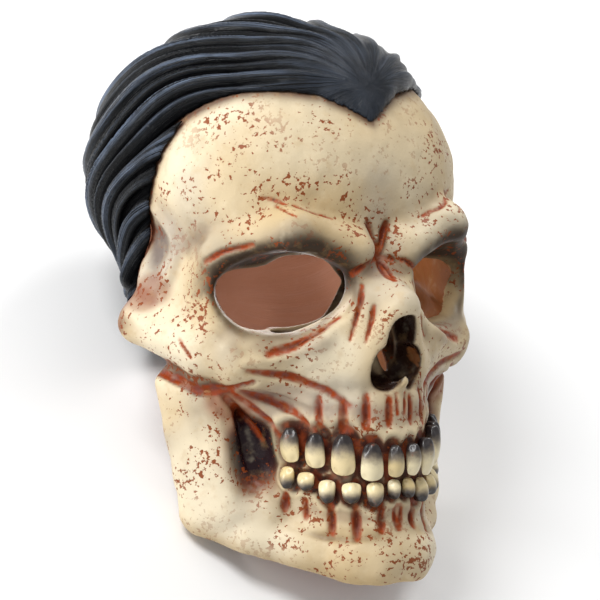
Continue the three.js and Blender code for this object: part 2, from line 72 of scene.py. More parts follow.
def back(share):
    return share / 100 * MASK_DEPTH


def up(share):
    return share / 100 * SKULL_HEIGHT


def table(columns, rows):
    return [dict(zip(columns, row)) for row in rows]


def rising(value, start, end):
    """0 before the start and 1 after the end, with a smooth way between them."""
    share = np.clip((value - start) / (end - start), 0, 1)
    return share * share * (3 - 2 * share)


lying = Matrix.Rotation(-REST_TILT, 4, "X")
laid_down = Matrix.Translation(Vector(REST_PLACE) * MM) @ lying @ Matrix.Scale(MM, 4)
print("the mask lies tilted by", round(math.degrees(REST_TILT), 1), "degrees")

# %% [markdown]
# The camera comes first, because furrows and scratches are later placed by where the photograph shows
# them. It stands 1.4 m away, in front and to the wearer's right, a little above eye level of the mask.
# A ray through a pixel of the 600 by 600 picture meets the mask at one point, on the real surface.

# %% Camera
VIEW_AROUND = math.radians(-37)
VIEW_ABOVE = math.radians(4)
VIEW_ROLL = math.radians(-0.7)
VIEW_DISTANCE = 1413.0
FOCAL_PIXELS = 2708.0
IMAGE_SIZE = 600
ORIGIN_PIXEL = (385.2, 289.0)


def view_axes():
    towards = Vector((
        math.sin(VIEW_AROUND) * math.cos(VIEW_ABOVE),
        -math.cos(VIEW_AROUND) * math.cos(VIEW_ABOVE),
        math.sin(VIEW_ABOVE),
    ))
    right = Vector((0, 0, 1)).cross(towards).normalized()
    upward = towards.cross(right)
    turned_right = math.cos(VIEW_ROLL) * right + math.sin(VIEW_ROLL) * upward
    turned_up = math.cos(VIEW_ROLL) * upward - math.sin(VIEW_ROLL) * right
    return turned_right, turned_up, towards


view_right, view_up, view_towards = view_axes()
eye_point = view_towards * VIEW_DISTANCE


def pixel_ray(column, row):
    """The direction in which the camera sees a pixel."""
    aside = (column - ORIGIN_PIXEL[0]) / FOCAL_PIXELS
    below = (row - ORIGIN_PIXEL[1]) / FOCAL_PIXELS
    return (-view_towards + aside * view_right - below * view_up).normalized()


def add_object(name, data):
    thing = bpy.data.objects.new(name, data)
    bpy.context.scene.collection.objects.link(thing)
    return thing


def add_camera():
    forward = pixel_ray(IMAGE_SIZE / 2, IMAGE_SIZE / 2)
    right = forward.cross(view_up).normalized()
    upward = right.cross(forward)
    turn = Matrix((right, upward, -forward)).transposed().to_4x4()
    data = bpy.data.cameras.new("camera")
    data.sensor_width = 36
    data.lens = FOCAL_PIXELS / IMAGE_SIZE * data.sensor_width
    data.clip_end = 20
    camera = add_object("camera", data)
    camera.matrix_world = Matrix.Translation(laid_down @ eye_point) @ lying @ turn
    bpy.context.scene.camera = camera
    return camera


camera = add_camera()
print("camera at", [round(v, 3) for v in camera.matrix_world.translation])

# %% [markdown]
# The real mask was sculpted in clay from big forms to small ones. The same is done here with fields: a
# number at every point of a fine grid that is negative inside a form and rises by one a millimetre.
# Fields of balls and tapered bars melt into each other like clay, which no boolean cut can do. The two
# halves mirror each other, so the grid covers one half. These tables are the forms, each with a name.

# %% The big forms of the skull
VOXEL = 1.15
FAR = 30.0
GRID_LOW = (0.0, -36.0, -162.0)
GRID_HIGH = (106.0, 242.0, 154.0)
axes = [np.arange(low, high, VOXEL, dtype=np.float32) for low, high in zip(GRID_LOW, GRID_HIGH)]

round_columns = ["name", "x", "y", "z", "rx", "ry", "rz", "blend"]
bone_rounds = table(round_columns, [
    ["cranium", 0, 45.9, 21, 44.6, 42.2, 24.8, 0],
    ["forehead", 0, 28.4, 18.8, 43.5, 26.6, 23.3, 5.4],
    ["head_side", 0, 35.8, 0.8, 47.3, 20.2, 16.5, 6.5],
    ["nape", 0, 50.5, -4.5, 33.7, 27.1, 18, 8.7],
    ["throat", 0, 35.8, -27.1, 30.4, 35.8, 29.3, 6.5],
    ["socket_wall", 30.4, 22, 0, 13.6, 11, 11.3, 4.3],
    ["cheekbone", 33.2, 17.4, -11.3, 8.2, 6.9, 6, 4.3],
    ["chin", 0, 4.6, -48.1, 16.3, 11, 6.4, 4.3],
])
hair_rounds = table(round_columns, [
    ["crown", 0, 46.3, 21, 47.8, 45, 29.3, 0],
    ["head_side", 0, 42.2, 1.5, 47.8, 18.3, 16.9, 8.7],
    ["nape", 0, 50.5, -4.5, 35.9, 28.4, 18.8, 8.7],
    ["quiff", 0, 20.2, 36.1, 23.9, 13.8, 9.8, 7.6],
])
hollows = table(round_columns, [
    ["eye_socket", 27.2, 6.4, 0, 18.5, 13.8, 7.5, 2.7],
    ["temple", 50, 29.4, 5.3, 6.5, 9.2, 9.8, 4.3],
    ["mouth_corner", 29.3, 14.7, -30.1, 6, 7.3, 7.1, 2.2],
    ["frown", 0, -1.8, 8.3, 1.6, 3.7, 4.1, 1.6],
])
nose_pocket = table(round_columns, [
    ["lobe", 3.4, -2.8, -13.8, 4.5, 6.4, 4.2, 0],
    ["peak", 0, -5, -9.4, 4.4, 6.6, 6.2, 1],
])
nostril = dict(x=3.2, y=4.6, z=-12.6, rx=1.25, ry=4.6, rz=2.6, blend=0)
drums = table(["name", "y", "z", "rx", "ry", "half", "round", "blend"], [
    ["upper_gum", 17.4, -25.2, 20.1, 22.5, 8.3, 5.4, 4.3],
    ["lower_gum", 18.3, -40.6, 20.7, 22, 6.8, 4.3, 4.3],
])
bars = table(["name", "x1", "y1", "z1", "r1", "x2", "y2", "z2", "r2", "blend"], [
    ["brow_inner", 8.2, 2.8, 7.1, 5.4, 25, 5.5, 10.5, 5.4, 5.4],
    ["brow_outer", 25, 5.5, 10.5, 5.4, 37, 17.4, 6.8, 4.3, 5.4],
    ["socket_side", 37, 17.4, 6.8, 4.3, 36.4, 17.9, -5.3, 4.3, 3.3],
    ["frown_root", 0, 6.4, 6.4, 4.3, 0, 5.5, 3, 4.3, 3.3],
    ["cheek_arch", 39.1, 22.9, -10.2, 7.6, 44.6, 40.4, -5.6, 6.5, 4.3],
    ["under_eye", 33.7, 13.8, -10.2, 4.9, 16.3, 6.4, -10.5, 5.4, 4.3],
    ["cheek_slope", 29.3, 19.3, -17.3, 4.9, 18.5, 14.7, -24.8, 4.9, 4.3],
    ["nose_side", 16.3, 6.4, -10.5, 5.4, 6.5, 2.8, 0.8, 4.3, 4.3],
    ["nose_bone", 0, 4.6, 2.3, 3.8, 0, -6, -2.6, 4.3, 3.3],
    ["nose_rim", 2.7, -5.5, -3.8, 2.7, 8.2, 0, -15, 3.8, 2.7],
    ["nose_spine", 0, -0.9, -17.3, 3.3, 0, -5.5, -15.8, 2.2, 2.7],
    ["jaw_front", 4.3, 0, -49.4, 6.8, 16.3, 11, -47.4, 5.7, 4.3],
    ["jaw_middle", 16.3, 11, -47.4, 5.7, 27.2, 20.2, -45.1, 5.2, 4.3],
    ["jaw_side", 27.2, 20.2, -45.1, 5.2, 33.7, 28, -42.5, 5.2, 4.3],
    ["jaw_branch_rear", 35.9, 30.7, -40.6, 4.6, 40.2, 33.5, -17.3, 5.2, 4.3],
    ["jaw_branch_front", 31.5, 22.9, -39.5, 4.3, 35.9, 23.9, -18.8, 4.3, 4.3],
    ["jaw_branch_plate", 33.7, 26.8, -40, 4.4, 38.2, 28.7, -18, 4.9, 4.3],
    ["nose_wall", 4.5, -0.6, -2, 3.2, 11.5, 2.6, -13.5, 4.6, 4.3],
    ["cheek_fold", 28, 13.2, -13.5, 4.8, 15, 8.2, -16.5, 4.8, 4.3],
    ["jaw_shelf", 24, 17.8, -40.3, 4.8, 31.5, 24, -40, 4.8, 3],
])
print("forms", len(bone_rounds) + len(drums) + len(bars), "added and", len(hollows), "carved out")

# %% [markdown]
# Where two fields are about equal, a little more is taken off the smaller one. That is the melting, and
# its width is the blend. The same sum with the signs turned carves one form out of another.

# %% Melting and carving
TINY = 1e-6


def blend_min(one, other, blend):
    share = np.maximum(blend - np.abs(one - other), 0) / max(blend, TINY)
    return np.minimum(one, other) - share * share * (blend / 4)


def carve(field, cut, blend):
    return -blend_min(-field, cut, blend)


def round_field(row, x, y, z):
    rx, ry, rz = across(row["rx"]), back(row["ry"]), up(row["rz"])
    dx, dy, dz = x - across(row["x"]), y - back(row["y"]), z - up(row["z"])
    reach = np.sqrt((dx / rx) ** 2 + (dy / ry) ** 2 + (dz / rz) ** 2) + 1e-6
    slope = np.sqrt((dx / rx ** 2) ** 2 + (dy / ry ** 2) ** 2 + (dz / rz ** 2) ** 2) + 1e-8
    return reach * (reach - 1) / slope


def bar_field(row, x, y, z):
    start = (across(row["x1"]), back(row["y1"]), up(row["z1"]))
    run = (across(row["x2"]) - start[0], back(row["y2"]) - start[1], up(row["z2"]) - start[2])
    dx, dy, dz = x - start[0], y - start[1], z - start[2]
    length = sum(side * side for side in run)
    dot = dx * run[0] + dy * run[1] + dz * run[2]
    along = np.clip(dot / length, 0, 1)
    away = dx * dx + dy * dy + dz * dz - 2 * along * dot + along * along * length
    return np.sqrt(np.maximum(away, 0)) - across(row["r1"] + along * (row["r2"] - row["r1"]))


def drum_field(row, x, y, z):
    rx, ry = across(row["rx"]), back(row["ry"])
    dy = y - back(row["y"])
    reach = np.sqrt((x / rx) ** 2 + (dy / ry) ** 2) + 1e-6
    slope = np.sqrt((x / rx ** 2) ** 2 + (dy / ry ** 2) ** 2) + 1e-8
    side = reach * (reach - 1) / slope
    ends = up(row["half"]) - np.abs(z - up(row["z"]))
    return carve(side, ends, across(row["round"]))


def round_box(row):
    middle = (across(row["x"]), back(row["y"]), up(row["z"]))
    radii = (across(row["rx"]), back(row["ry"]), up(row["rz"]))
    return [m - r for m, r in zip(middle, radii)], [m + r for m, r in zip(middle, radii)]


def bar_box(row):
    ends = [(across(row["x" + n]), back(row["y" + n]), up(row["z" + n])) for n in "12"]
    radius = across(max(row["r1"], row["r2"]))
    return [min(pair) - radius for pair in zip(*ends)], [max(pair) + radius for pair in zip(*ends)]


def drum_box(row):
    rx, ry = across(row["rx"]), back(row["ry"])
    low = (-rx, back(row["y"]) - ry, up(row["z"] - row["half"]))
    return low, (rx, back(row["y"]) + ry, up(row["z"] + row["half"]))


STAMP_MARGIN = 12.0


def stamp(field, row, shape, box, join=blend_min):
    """Melts one form into the field, or carves it out, in the part of the grid round it."""
    blend = across(row["blend"])
    margin = blend + STAMP_MARGIN
    spans = [slice(*np.searchsorted(axis, (low - margin, high + margin)))
             for axis, low, high in zip(axes, *box(row))]
    x, y, z = axes[0][spans[0], None, None], axes[1][None, spans[1], None], axes[2][None, None, spans[2]]
    part = field[spans[0], spans[1], spans[2]]
    part[...] = join(part, shape(row, x, y, z), blend)


def empty_field():
    return np.full([len(axis) for axis in axes], FAR, np.float32)


bone = empty_field()
for rows, shape, box in [
    (bone_rounds, round_field, round_box), (drums, drum_field, drum_box), (bars, bar_field, bar_box),
]:
    for row in rows:
        stamp(bone, row, shape, box)
for row in hollows:
    stamp(bone, row, round_field, round_box, join=carve)
pocket = empty_field()
for row in nose_pocket:
    stamp(pocket, row, round_field, round_box)
print("grid of", bone.size, "points")

# %% [markdown]
# The holes and edges of a real mask are cut after it is cast. The eye hole is an outline cut at a slant,
# nearer to the nose as it goes in, like the photograph's line of sight, so that its wall hardly shows.
# The hairline and the lower edge are heights by the angle round the head, counted from the nose,
# because that is how they run on a head.

# %% Edges and holes
SPINE_Y = back(39)
hairline_rows = [
    [0, 30], [10, 33], [20, 35], [40, 36.1], [52, 35.7], [62, 34.2], [72, 31.6],
    [79, 26.7], [84, 21], [88, 16.5], [92, 11.3], [95, 1.5], [96, -22],
]
lower_edge_rows = [
    [0, -53.2], [16, -52.8], [31, -50.4], [50, -48.3], [70, -45.3], [78, -44.7], [82.5, -40.6],
    [85, -27], [88, -15], [91, -11.5], [96, -10.2], [98, -6.8], [99, -1.1], [101, -3],
    [103, -5.6], [108, -7.5], [117, -9.4], [133, -11.6], [153, -15], [180, -16.2],
]
eye_outline = [
    [3.6, 1.6], [8.2, 5.4], [12.7, 6.7], [17.9, 6.6], [22.9, 6.2], [28, 4.7], [33.7, 4.2], [38.9, 3.8],
    [42.6, 2.2], [43.3, -0.5], [40.4, -3.8], [35.2, -6.1], [29.5, -6.9], [23.5, -7.2], [17, -6.8],
    [10.3, -5.5], [7, -2.9], [5, -0.5],
]
EYE_DEPTH = 30.0
EYE_SLANT = math.tan(-VIEW_AROUND)


def head_angle(x, y):
    """Degrees round the head, 0 at the nose and 180 at the nape."""
    return np.degrees(np.arctan2(np.abs(x), SPINE_Y - y))


def height_at(rows, x, y):
    """Height of an edge at places round the head, in millimetres."""
    return np.interp(head_angle(x, y), [row[0] for row in rows], [up(row[1]) for row in rows])


def smooth_loop(points, steps):
    """A closed curve through the points, by Catmull and Rom's rule."""
    here = np.array(points, float)
    before, after, later = [np.roll(here, shift, 0) for shift in (1, -1, -2)]
    t = np.linspace(0, 1, steps, endpoint=False)[:, None]
    curve = []
    for a, b, c, d in zip(before, here, after, later):
        bend, twist = 2 * a - 5 * b + 4 * c - d, 3 * b - a - 3 * c + d
        curve.append(0.5 * (2 * b + (c - a) * t + bend * t ** 2 + twist * t ** 3))
    return np.concatenate(curve)


def loop_distance(loop, x, z):
    """Distance from a closed outline, negative inside it."""
    nearest = np.full(np.broadcast(x, z).shape, 1e9)
    inside = np.zeros(nearest.shape, bool)
    for (x1, z1), (x2, z2) in zip(loop, np.roll(loop, -1, 0)):
        run = (x2 - x1, z2 - z1)
        along = np.clip(((x - x1) * run[0] + (z - z1) * run[1]) / (run[0] ** 2 + run[1] ** 2), 0, 1)
        nearest = np.minimum(nearest, np.hypot(x - x1 - along * run[0], z - z1 - along * run[1]))
        crosses = (z1 > z) != (z2 > z)
        inside ^= crosses & (x < x1 + (z - z1) * run[0] / (run[1] if abs(run[1]) > 1e-9 else 1e-9))
    return np.where(inside, -nearest, nearest)


def eye_distance(x, y, z):
    """Distance from the eye hole's outline, measured where the slanted cut passes its own depth."""
    return loop_distance(eye_loop, np.abs(x) + EYE_SLANT * (y - EYE_DEPTH), z)


eye_loop = smooth_loop([[across(x), up(z)] for x, z in eye_outline], 4)
flat_x, flat_y = axes[0][:, None], axes[1][None, :]
hairline_plan = height_at(hairline_rows, flat_x, flat_y).astype(np.float32)[:, :, None]
lower_plan = height_at(lower_edge_rows, flat_x, flat_y).astype(np.float32)[:, :, None]
grid_z = axes[2][None, None, :]
print("eye hole", np.ptp(eye_loop, axis=0).round(1).tolist(), "mm")

# %% [markdown]
# A casting is hollow: the wall follows the outside about 3 mm in. A field makes that easy, because the
# points 3 mm deep are those where it says -3. The nose is a deep pocket with a slit on each side of its
# spine to breathe through. The bone runs on for a while under the hair, and every cut edge is rounded.

# %% The bone shell
WALL = 3.0
EYE_CUT_BACK = 71.0
HIDDEN_LAP = 26.0
BONE_BACK = 58
EDGE_ROUND = 1.2

hollow = np.maximum(bone + WALL, WALL - pocket)
shell = np.maximum(carve(bone, pocket, EDGE_ROUND), -hollow)
slit = empty_field()
stamp(slit, nostril, round_field, round_box)
shell = carve(shell, slit, EDGE_ROUND)
slanted = np.arange(GRID_LOW[1] * 2, GRID_HIGH[0] * 2, VOXEL)
eye_plan = loop_distance(eye_loop, slanted[:, None], axes[2][None, :]).astype(np.float32)
for index, depth in enumerate(axes[1]):
    if depth < EYE_CUT_BACK:
        shift = (axes[0] + EYE_SLANT * (depth - EYE_DEPTH) - slanted[0]) / VOXEL
        low = np.clip(shift.astype(int), 0, len(slanted) - 2)
        part = (shift - low)[:, None]
        cut = eye_plan[low] * (1 - part) + eye_plan[low + 1] * part
        shell[:, index] = carve(shell[:, index], cut, EDGE_ROUND)
shell = np.maximum(shell, lower_plan - grid_z)
shell = np.maximum(shell, grid_z - (hairline_plan + HIDDEN_LAP))
shell = np.maximum(shell, flat_y[:, :, None] - back(BONE_BACK))

# %% [markdown]
# Under the chin the casting is open for the neck. The underside of the fields would close it with a thin
# plate, so that plate is cut out along the jaw's inner edge, drawn as it looks from below.

# %% The neck opening
NECK_TOP = -38
neck_outline = [
    [-5, -1.3], [0, -1.3], [3.9, 0], [7.9, 3], [11.8, 6.4], [15.8, 11.9], [19.7, 19.5], [22.4, 28],
    [23.6, 33], [23.8, 38], [-5, 38],
]
neck_loop = np.array([[across(x), back(y)] for x, y in neck_outline])
neck_plan = loop_distance(neck_loop, flat_x, flat_y).astype(np.float32)[:, :, None]
shell = carve(shell, np.maximum(neck_plan, grid_z - up(NECK_TOP)), EDGE_ROUND)
print("neck opening", round(float(np.ptp(neck_loop[:, 1]))), "mm from front to back")

# %% [markdown]
# A field becomes a mesh by OpenVDB, which puts faces of four corners where it passes through zero. The
# half is mirrored first. The helpers below read and move a mesh's points as arrays, because a loop over
# a hundred thousand points is slow in Python.

# %% From field to mesh
FULL_LOW = np.array([-axes[0][-1], axes[1][0], axes[2][0]])


def mirrored(half):
    return np.concatenate([half[:0:-1], half])


def polygons(field):
    """The surface where a field is zero, as points in millimetres and faces of four corners."""
    grid = openvdb.FloatGrid(FAR)
    grid.copyFromArray(np.minimum(field, FAR))
    points, triangles, quads = grid.convertToPolygons(0.0, 0.0)
    return points * VOXEL + FULL_LOW, triangles, quads


def sampled(field, points):
    """The field's value at each point, read between the grid's points."""
    at = (points - FULL_LOW) / VOXEL
    at = np.clip(at, 0, np.array(field.shape) - 1.001)
    base = at.astype(int)
    part = at - base
    value = np.zeros(len(points))
    for corner in np.ndindex(2, 2, 2):
        weight = np.prod(np.where(corner, part, 1 - part), axis=1)
        cell = base + corner
        value += weight * field[cell[:, 0], cell[:, 1], cell[:, 2]]
    return value


def piece_mesh(name, points, triangles, quads):
    mesh = bpy.data.meshes.new(name)
    mesh.from_pydata(points.tolist(), [], quads.tolist() + triangles.tolist())
    mesh.validate()
    return mesh


def point_values(mesh, name):
    values = np.empty(len(mesh.vertices) * 3)
    mesh.vertices.foreach_get(name, values)
    return values.reshape(-1, 3)


def positions(mesh):
    return point_values(mesh, "co")


def normals(mesh):
    return point_values(mesh, "normal")


def move_to(mesh, points):
    mesh.vertices.foreach_set("co", np.ravel(points))
    mesh.update()


def push(mesh, heights):
    """Moves every point outwards by its own height."""
    move_to(mesh, positions(mesh) + normals(mesh) * heights[:, None])


def relax(mesh, rounds):
    """Takes the steps of the grid off a surface: every point moves halfway to its neighbours' middle."""
    ends = np.empty(len(mesh.edges) * 2, int)
    mesh.edges.foreach_get("vertices", ends)
    one, other = ends[::2], ends[1::2]
    points = positions(mesh)
    count = np.bincount(ends, minlength=len(points))[:, None]
    for _ in range(rounds):
        total = np.zeros_like(points)
        for axis in range(3):
            total[:, axis] += np.bincount(one, points[other, axis], len(points))
            total[:, axis] += np.bincount(other, points[one, axis], len(points))
        points = (points + total / np.maximum(count, 1)) / 2
    move_to(mesh, points)


bone_mesh = piece_mesh("bone_face", *polygons(mirrored(shell)))
relax(bone_mesh, 2)
print("bone face", len(bone_mesh.polygons), "faces of four")

# %% [markdown]
# Teeth stand along the arch of their gum. A table gives each tooth, from the middle out, its place and
# width as shares of half the arch and its height as a share of the tallest. Both rows meet at a bite
# line that is not quite level. The gum is sculpted round the teeth, so their places come first.

# %% Places of the teeth
TOOTH_THICKNESS = 8.5
TOOTH_SEAT = 1.5
UPPER_TALLEST = 22.0
LOWER_TALLEST = 13.0
tooth_columns = ["place", "width", "height"]
upper_teeth = table(tooth_columns, [
    [0.07, 0.14, 0.78], [0.23, 0.18, 0.92], [0.42, 0.195, 1], [0.625, 0.175, 0.85], [0.84, 0.19, 0.84],
])
lower_teeth = table(tooth_columns, [
    [0.057, 0.112, 0.8], [0.19, 0.14, 1], [0.345, 0.155, 0.85],
    [0.51, 0.14, 0.95], [0.67, 0.15, 0.75], [0.825, 0.135, 0.9],
])
bite_line = [
    [0, -33.6], [0.2, -34.3], [0.4, -34.2], [0.55, -32.8], [0.7, -31.9], [0.85, -31.2], [1, -30.8],
]


def arch_point(gum, share):
    """Place on the gum's arch, its outward direction, and the length of half the arch."""
    rx, ry = across(gum["rx"]), back(gum["ry"])
    turns = np.linspace(0, math.pi / 2, 91)
    x, y = rx * np.sin(turns), back(gum["y"]) - ry * np.cos(turns)
    run = np.concatenate([[0], np.cumsum(np.hypot(np.diff(x), np.diff(y)))])
    turn = np.interp(share * run[-1], run, turns)
    outward = Vector((math.sin(turn) / rx, -math.cos(turn) / ry, 0)).normalized()
    return rx * math.sin(turn), back(gum["y"]) - ry * math.cos(turn), outward, run[-1]


def surface_reach(x, y, z):
    """How far the bone's surface is from the head's spine, on the level ray through a point."""
    away = np.array([x, y - SPINE_Y]) / math.hypot(x, y - SPINE_Y)
    reach = np.arange(20.0, 130.0, 0.5)
    line = np.stack([reach * away[0], SPINE_Y + reach * away[1], np.full(len(reach), z)], 1)
    outside = sampled(full_bone, line) > 0
    return away, reach[np.argmax(outside)]


def tooth_places(rows, gum, tallest, upper):
    places = []
    for side in (-1, 1):
        for row in rows:
            x, y, outward, length = arch_point(gum, row["place"])
            height = row["height"] * tallest
            near = [row["place"] + half * row["width"] for half in (-0.5, 0, 0.5)]
            bite = [up(np.interp(share, *zip(*bite_line))) for share in near]
            z = max(bite) + (GAP + height) / 2 if upper else min(bite) - (GAP + height) / 2
            away, reach = surface_reach(x, y, z)
            stand = TOOTH_THICKNESS / 2 - TOOTH_SEAT
            middle = Vector((reach * away[0], SPINE_Y + reach * away[1], z)) + outward * stand
            places.append(dict(
                middle=Vector((side * middle.x, middle.y, middle.z)),
                outward=Vector((side * outward.x, outward.y, 0)),
                size=(row["width"] * length - GAP, TOOTH_THICKNESS, height),
                upper=upper,
            ))
    return places


full_bone = mirrored(bone)
upper_places = tooth_places(upper_teeth, drums[0], UPPER_TALLEST, True)
lower_places = tooth_places(lower_teeth, drums[1], LOWER_TALLEST, False)
print("teeth", len(upper_places), "above and", len(lower_places), "below")

# %% [markdown]
# The gum rises in a lip round the neck of every tooth and sinks between the lip and the tooth, where
# the dark paint gathers. Both follow an oval round each tooth, a little larger than the tooth itself.

# %% Gum round the teeth
NOWHERE_NEAR = 99.0
BEHIND_TEETH = 2.5 * TOOTH_THICKNESS
GUM_OVAL = 0.66
LIP_AT = 1.3
LIP_WIDTH = 0.22
LIP_HEIGHT = 1.1
PIT_AT = 0.95
PIT_WIDTH = 0.24
PIT_DEPTH = 0.8


def oval_reach(points, place):
    """How far points are from a tooth's middle, in ovals round it: 1 is at its own edge."""
    offset = points - np.array(place["middle"])
    outward = np.array(place["outward"])
    sideways = np.array([-outward[1], outward[0], 0])
    width, _, height = place["size"]
    reach = np.hypot(offset @ sideways / (width * GUM_OVAL), offset[:, 2] / (height * GUM_OVAL))
    return np.where(offset @ outward > -BEHIND_TEETH, reach, NOWHERE_NEAR)


def gum_marks(points):
    """How strongly each point is on a gum's lip, and how deep in the pit at a tooth's neck."""
    nearest = np.full(len(points), NOWHERE_NEAR)
    for place in upper_places + lower_places:
        nearest = np.minimum(nearest, oval_reach(points, place))
    lip = np.exp(-((nearest - LIP_AT) / LIP_WIDTH) ** 2)
    pit = 1 - rising(nearest, PIT_AT, PIT_AT + PIT_WIDTH)
    return lip, pit


lip, pit = gum_marks(positions(bone_mesh))
outer_side = sampled(full_bone, positions(bone_mesh)) > -WALL / 2
push(bone_mesh, (LIP_HEIGHT * lip - PIT_DEPTH * pit) * outer_side)
print("gum lips on", int((lip > 0.5).sum()), "points")

# %% [markdown]
# Furrows, gashes and ridges are strokes of a modelling tool. Each is drawn in the photograph's pixels,
# as a few points along the stroke, and a ray from the camera finds where it lies on the surface. The
# same stroke is made on the other half of the face, which the photograph hides. A width and a depth in
# millimetres say how it cuts in, or stands out if the depth is negative. Rust says how much rust paint
# it holds, and shade how much painted shade darkens it, from 0 to 1.

# %% Strokes of the modelling tool
stroke_columns = ["name", "width", "depth", "rust", "shade", "pixels"]
face_strokes = table(stroke_columns, [
    ["under_eye_gash", 2.6, 1.8, 1.0, 0.2, [(268, 354), (295, 345), (318, 333), (338, 318)]],
    ["under_eye_ridge", 4.5, -1.8, 0.0, 0.0, [(250, 362), (285, 358), (318, 345), (345, 322)]],
    ["cheek_furrow", 3.0, 2.2, 0.6, 0.5, [(248, 372), (290, 377), (325, 389), (350, 405)]],
    ["cheek_fold", 3.6, -1.6, 0.0, 0.0, [(250, 384), (285, 392), (312, 404), (330, 420)]],
    ["cheek_strand_top", 2.6, 2.2, 0.6, 0.6, [(242, 392), (270, 400), (295, 412), (308, 426)]],
    ["cheek_strand_low", 2.6, 2.2, 0.7, 0.6, [(230, 392), (250, 406), (268, 420), (278, 436)]],
    ["nose_side_gash", 1.6, 1.6, 1.0, 0.1, [(362, 286), (360, 304), (355, 322), (350, 340)]],
    ["nose_side_gash_inner", 1.4, 1.4, 0.9, 0.1, [(374, 306), (371, 322), (366, 342)]],
    ["brow_crease", 1.8, 1.6, 0.9, 0.3, [(204, 262), (222, 252), (253, 245)]],
    ["scratch_high", 1.0, 0.8, 0.9, 0.0, [(262, 197), (274, 200), (286, 204)]],
    ["scratch_long", 1.2, 0.9, 0.9, 0.0, [(294, 205), (312, 213), (331, 220)]],
    ["scratch_low", 1.0, 0.8, 0.8, 0.0, [(276, 206), (286, 211), (296, 217)]],
    ["cheek_scratch", 1.4, 1.0, 0.9, 0.0, [(180, 340), (184, 349), (190, 358)]],
    ["branch_rim", 3.0, -2.2, 0.1, 0.0, [
        (217, 396), (229, 412), (233, 435), (238, 460), (250, 482), (266, 492),
    ]],
    ["temple_ridge", 4.0, -2.8, 0.1, 0.0, [(152, 208), (170, 232), (178, 255), (170, 276), (150, 292)]],
    ["temple_dip", 8.0, 2.4, 0.0, 0.1, [(152, 226), (158, 250), (152, 280)]],
    ["cheek_strand_rear", 2.4, 2.0, 0.7, 0.5, [(226, 398), (240, 412), (254, 428), (262, 440)]],
    ["temple_seam", 2.6, 1.4, 0.9, 0.2, [(146, 200), (142, 232), (136, 262), (128, 288)]],
    ["cheek_under", 2.8, 2.5, 0.7, 0.9, [(126, 352), (160, 372), (198, 391), (228, 390), (252, 382)]],
    ["chin_line", 2.4, 1.0, 0.05, 0.2, [(292, 528), (318, 536), (350, 540), (380, 536)]],
    ["frown_near", 2.0, 2.6, 1.0, 0.4, [(368, 224), (372, 238), (377, 254)]],
    ["frown_far", 2.0, 2.6, 1.0, 0.4, [(387, 224), (382, 238), (378, 254)]],
    ["root_near", 1.8, 1.8, 1.0, 0.3, [(376, 257), (364, 266), (350, 275)]],
    ["root_far", 1.8, 1.8, 1.0, 0.3, [(378, 257), (387, 268), (396, 280)]],
    ["gum_notch_1", 2.6, 2.0, 0.9, 0.5, [(319, 398), (319, 424)]],
    ["gum_notch_2", 2.8, 2.4, 0.9, 0.5, [(343, 400), (343, 430)]],
    ["gum_notch_3", 2.8, 2.4, 1.0, 0.5, [(366, 396), (366, 428)]],
    ["gum_notch_4", 2.4, 2.0, 1.0, 0.5, [(389, 398), (389, 424)]],
    ["gum_notch_5", 1.4, 1.0, 0.9, 0.2, [(404, 392), (404, 414)]],
    ["root_furrow_1", 2.4, 1.8, 0.9, 0.4, [(286, 494), (285, 510)]],
    ["root_furrow_2", 2.4, 1.8, 0.9, 0.4, [(305, 500), (306, 518)]],
    ["root_furrow_3", 2.6, 2.2, 1.0, 0.4, [(331, 506), (332, 532)]],
    ["root_furrow_4", 2.6, 2.2, 1.0, 0.4, [(356, 508), (357, 538)]],
    ["root_furrow_5", 2.4, 2.0, 1.0, 0.4, [(381, 506), (382, 530)]],
    ["root_furrow_6", 1.6, 1.2, 0.9, 0.2, [(401, 504), (401, 528)]],
])
print("strokes", len(face_strokes))

# %% [markdown]
# A stroke is strongest along its middle and fades to both sides and towards its ends. It moves only the
# outside of the wall, and where strokes cross they don't cut deeper than the wall allows.

# %% Cutting the strokes
STROKE_STEP = 1.0
DEEPEST = 2.5
STROKE_FADE = 1.5
STROKE_SPREAD = 3
BLUNT_END = 0.35
bone_tree = BVHTree.FromPolygons(
    [Vector(point) for point in positions(bone_mesh)], [list(face.vertices) for face in bone_mesh.polygons],
)


def tree_of(points):
    """Finds the points near a place."""
    tree = KDTree(len(points))
    for index, point in enumerate(points):
        tree.insert(point, index)
    tree.balance()
    return tree


def stroke_path(pixels):
    """Points on the surface along a stroke, about a millimetre apart, with their share of its length."""
    corners = np.array(pixels, float)
    spans = np.hypot(*np.diff(corners, axis=0).T)
    run = np.concatenate([[0], np.cumsum(spans)])
    count = max(3, int(run[-1] * VIEW_DISTANCE / FOCAL_PIXELS / STROKE_STEP))
    shares = np.linspace(0, 1, count)
    columns = np.interp(shares * run[-1], run, corners[:, 0])
    rows = np.interp(shares * run[-1], run, corners[:, 1])
    path = []
    for share, column, row in zip(shares, columns, rows):
        hit = bone_tree.ray_cast(eye_point, pixel_ray(float(column), float(row)))[0]
        if hit is not None:
            path.append((share, hit))
    return path


def stroke_reach(tree, stroke, path, side):
    """How strongly a stroke touches the points near it, by their number."""
    reach = {}
    for share, hit in path:
        taper = BLUNT_END + (1 - BLUNT_END) * math.sin(math.pi * min(max(share, 0.02), 0.98)) ** 0.5
        place = Vector((hit.x * side, hit.y, hit.z))
        for _, index, away in tree.find_range(place, STROKE_SPREAD * stroke["width"]):
            value = math.exp(-(away / stroke["width"]) ** 2 * STROKE_FADE) * taper
            if outer_side[index]:
                reach[index] = max(reach.get(index, 0), value)
    return np.fromiter(reach.keys(), int), np.fromiter(reach.values(), float)


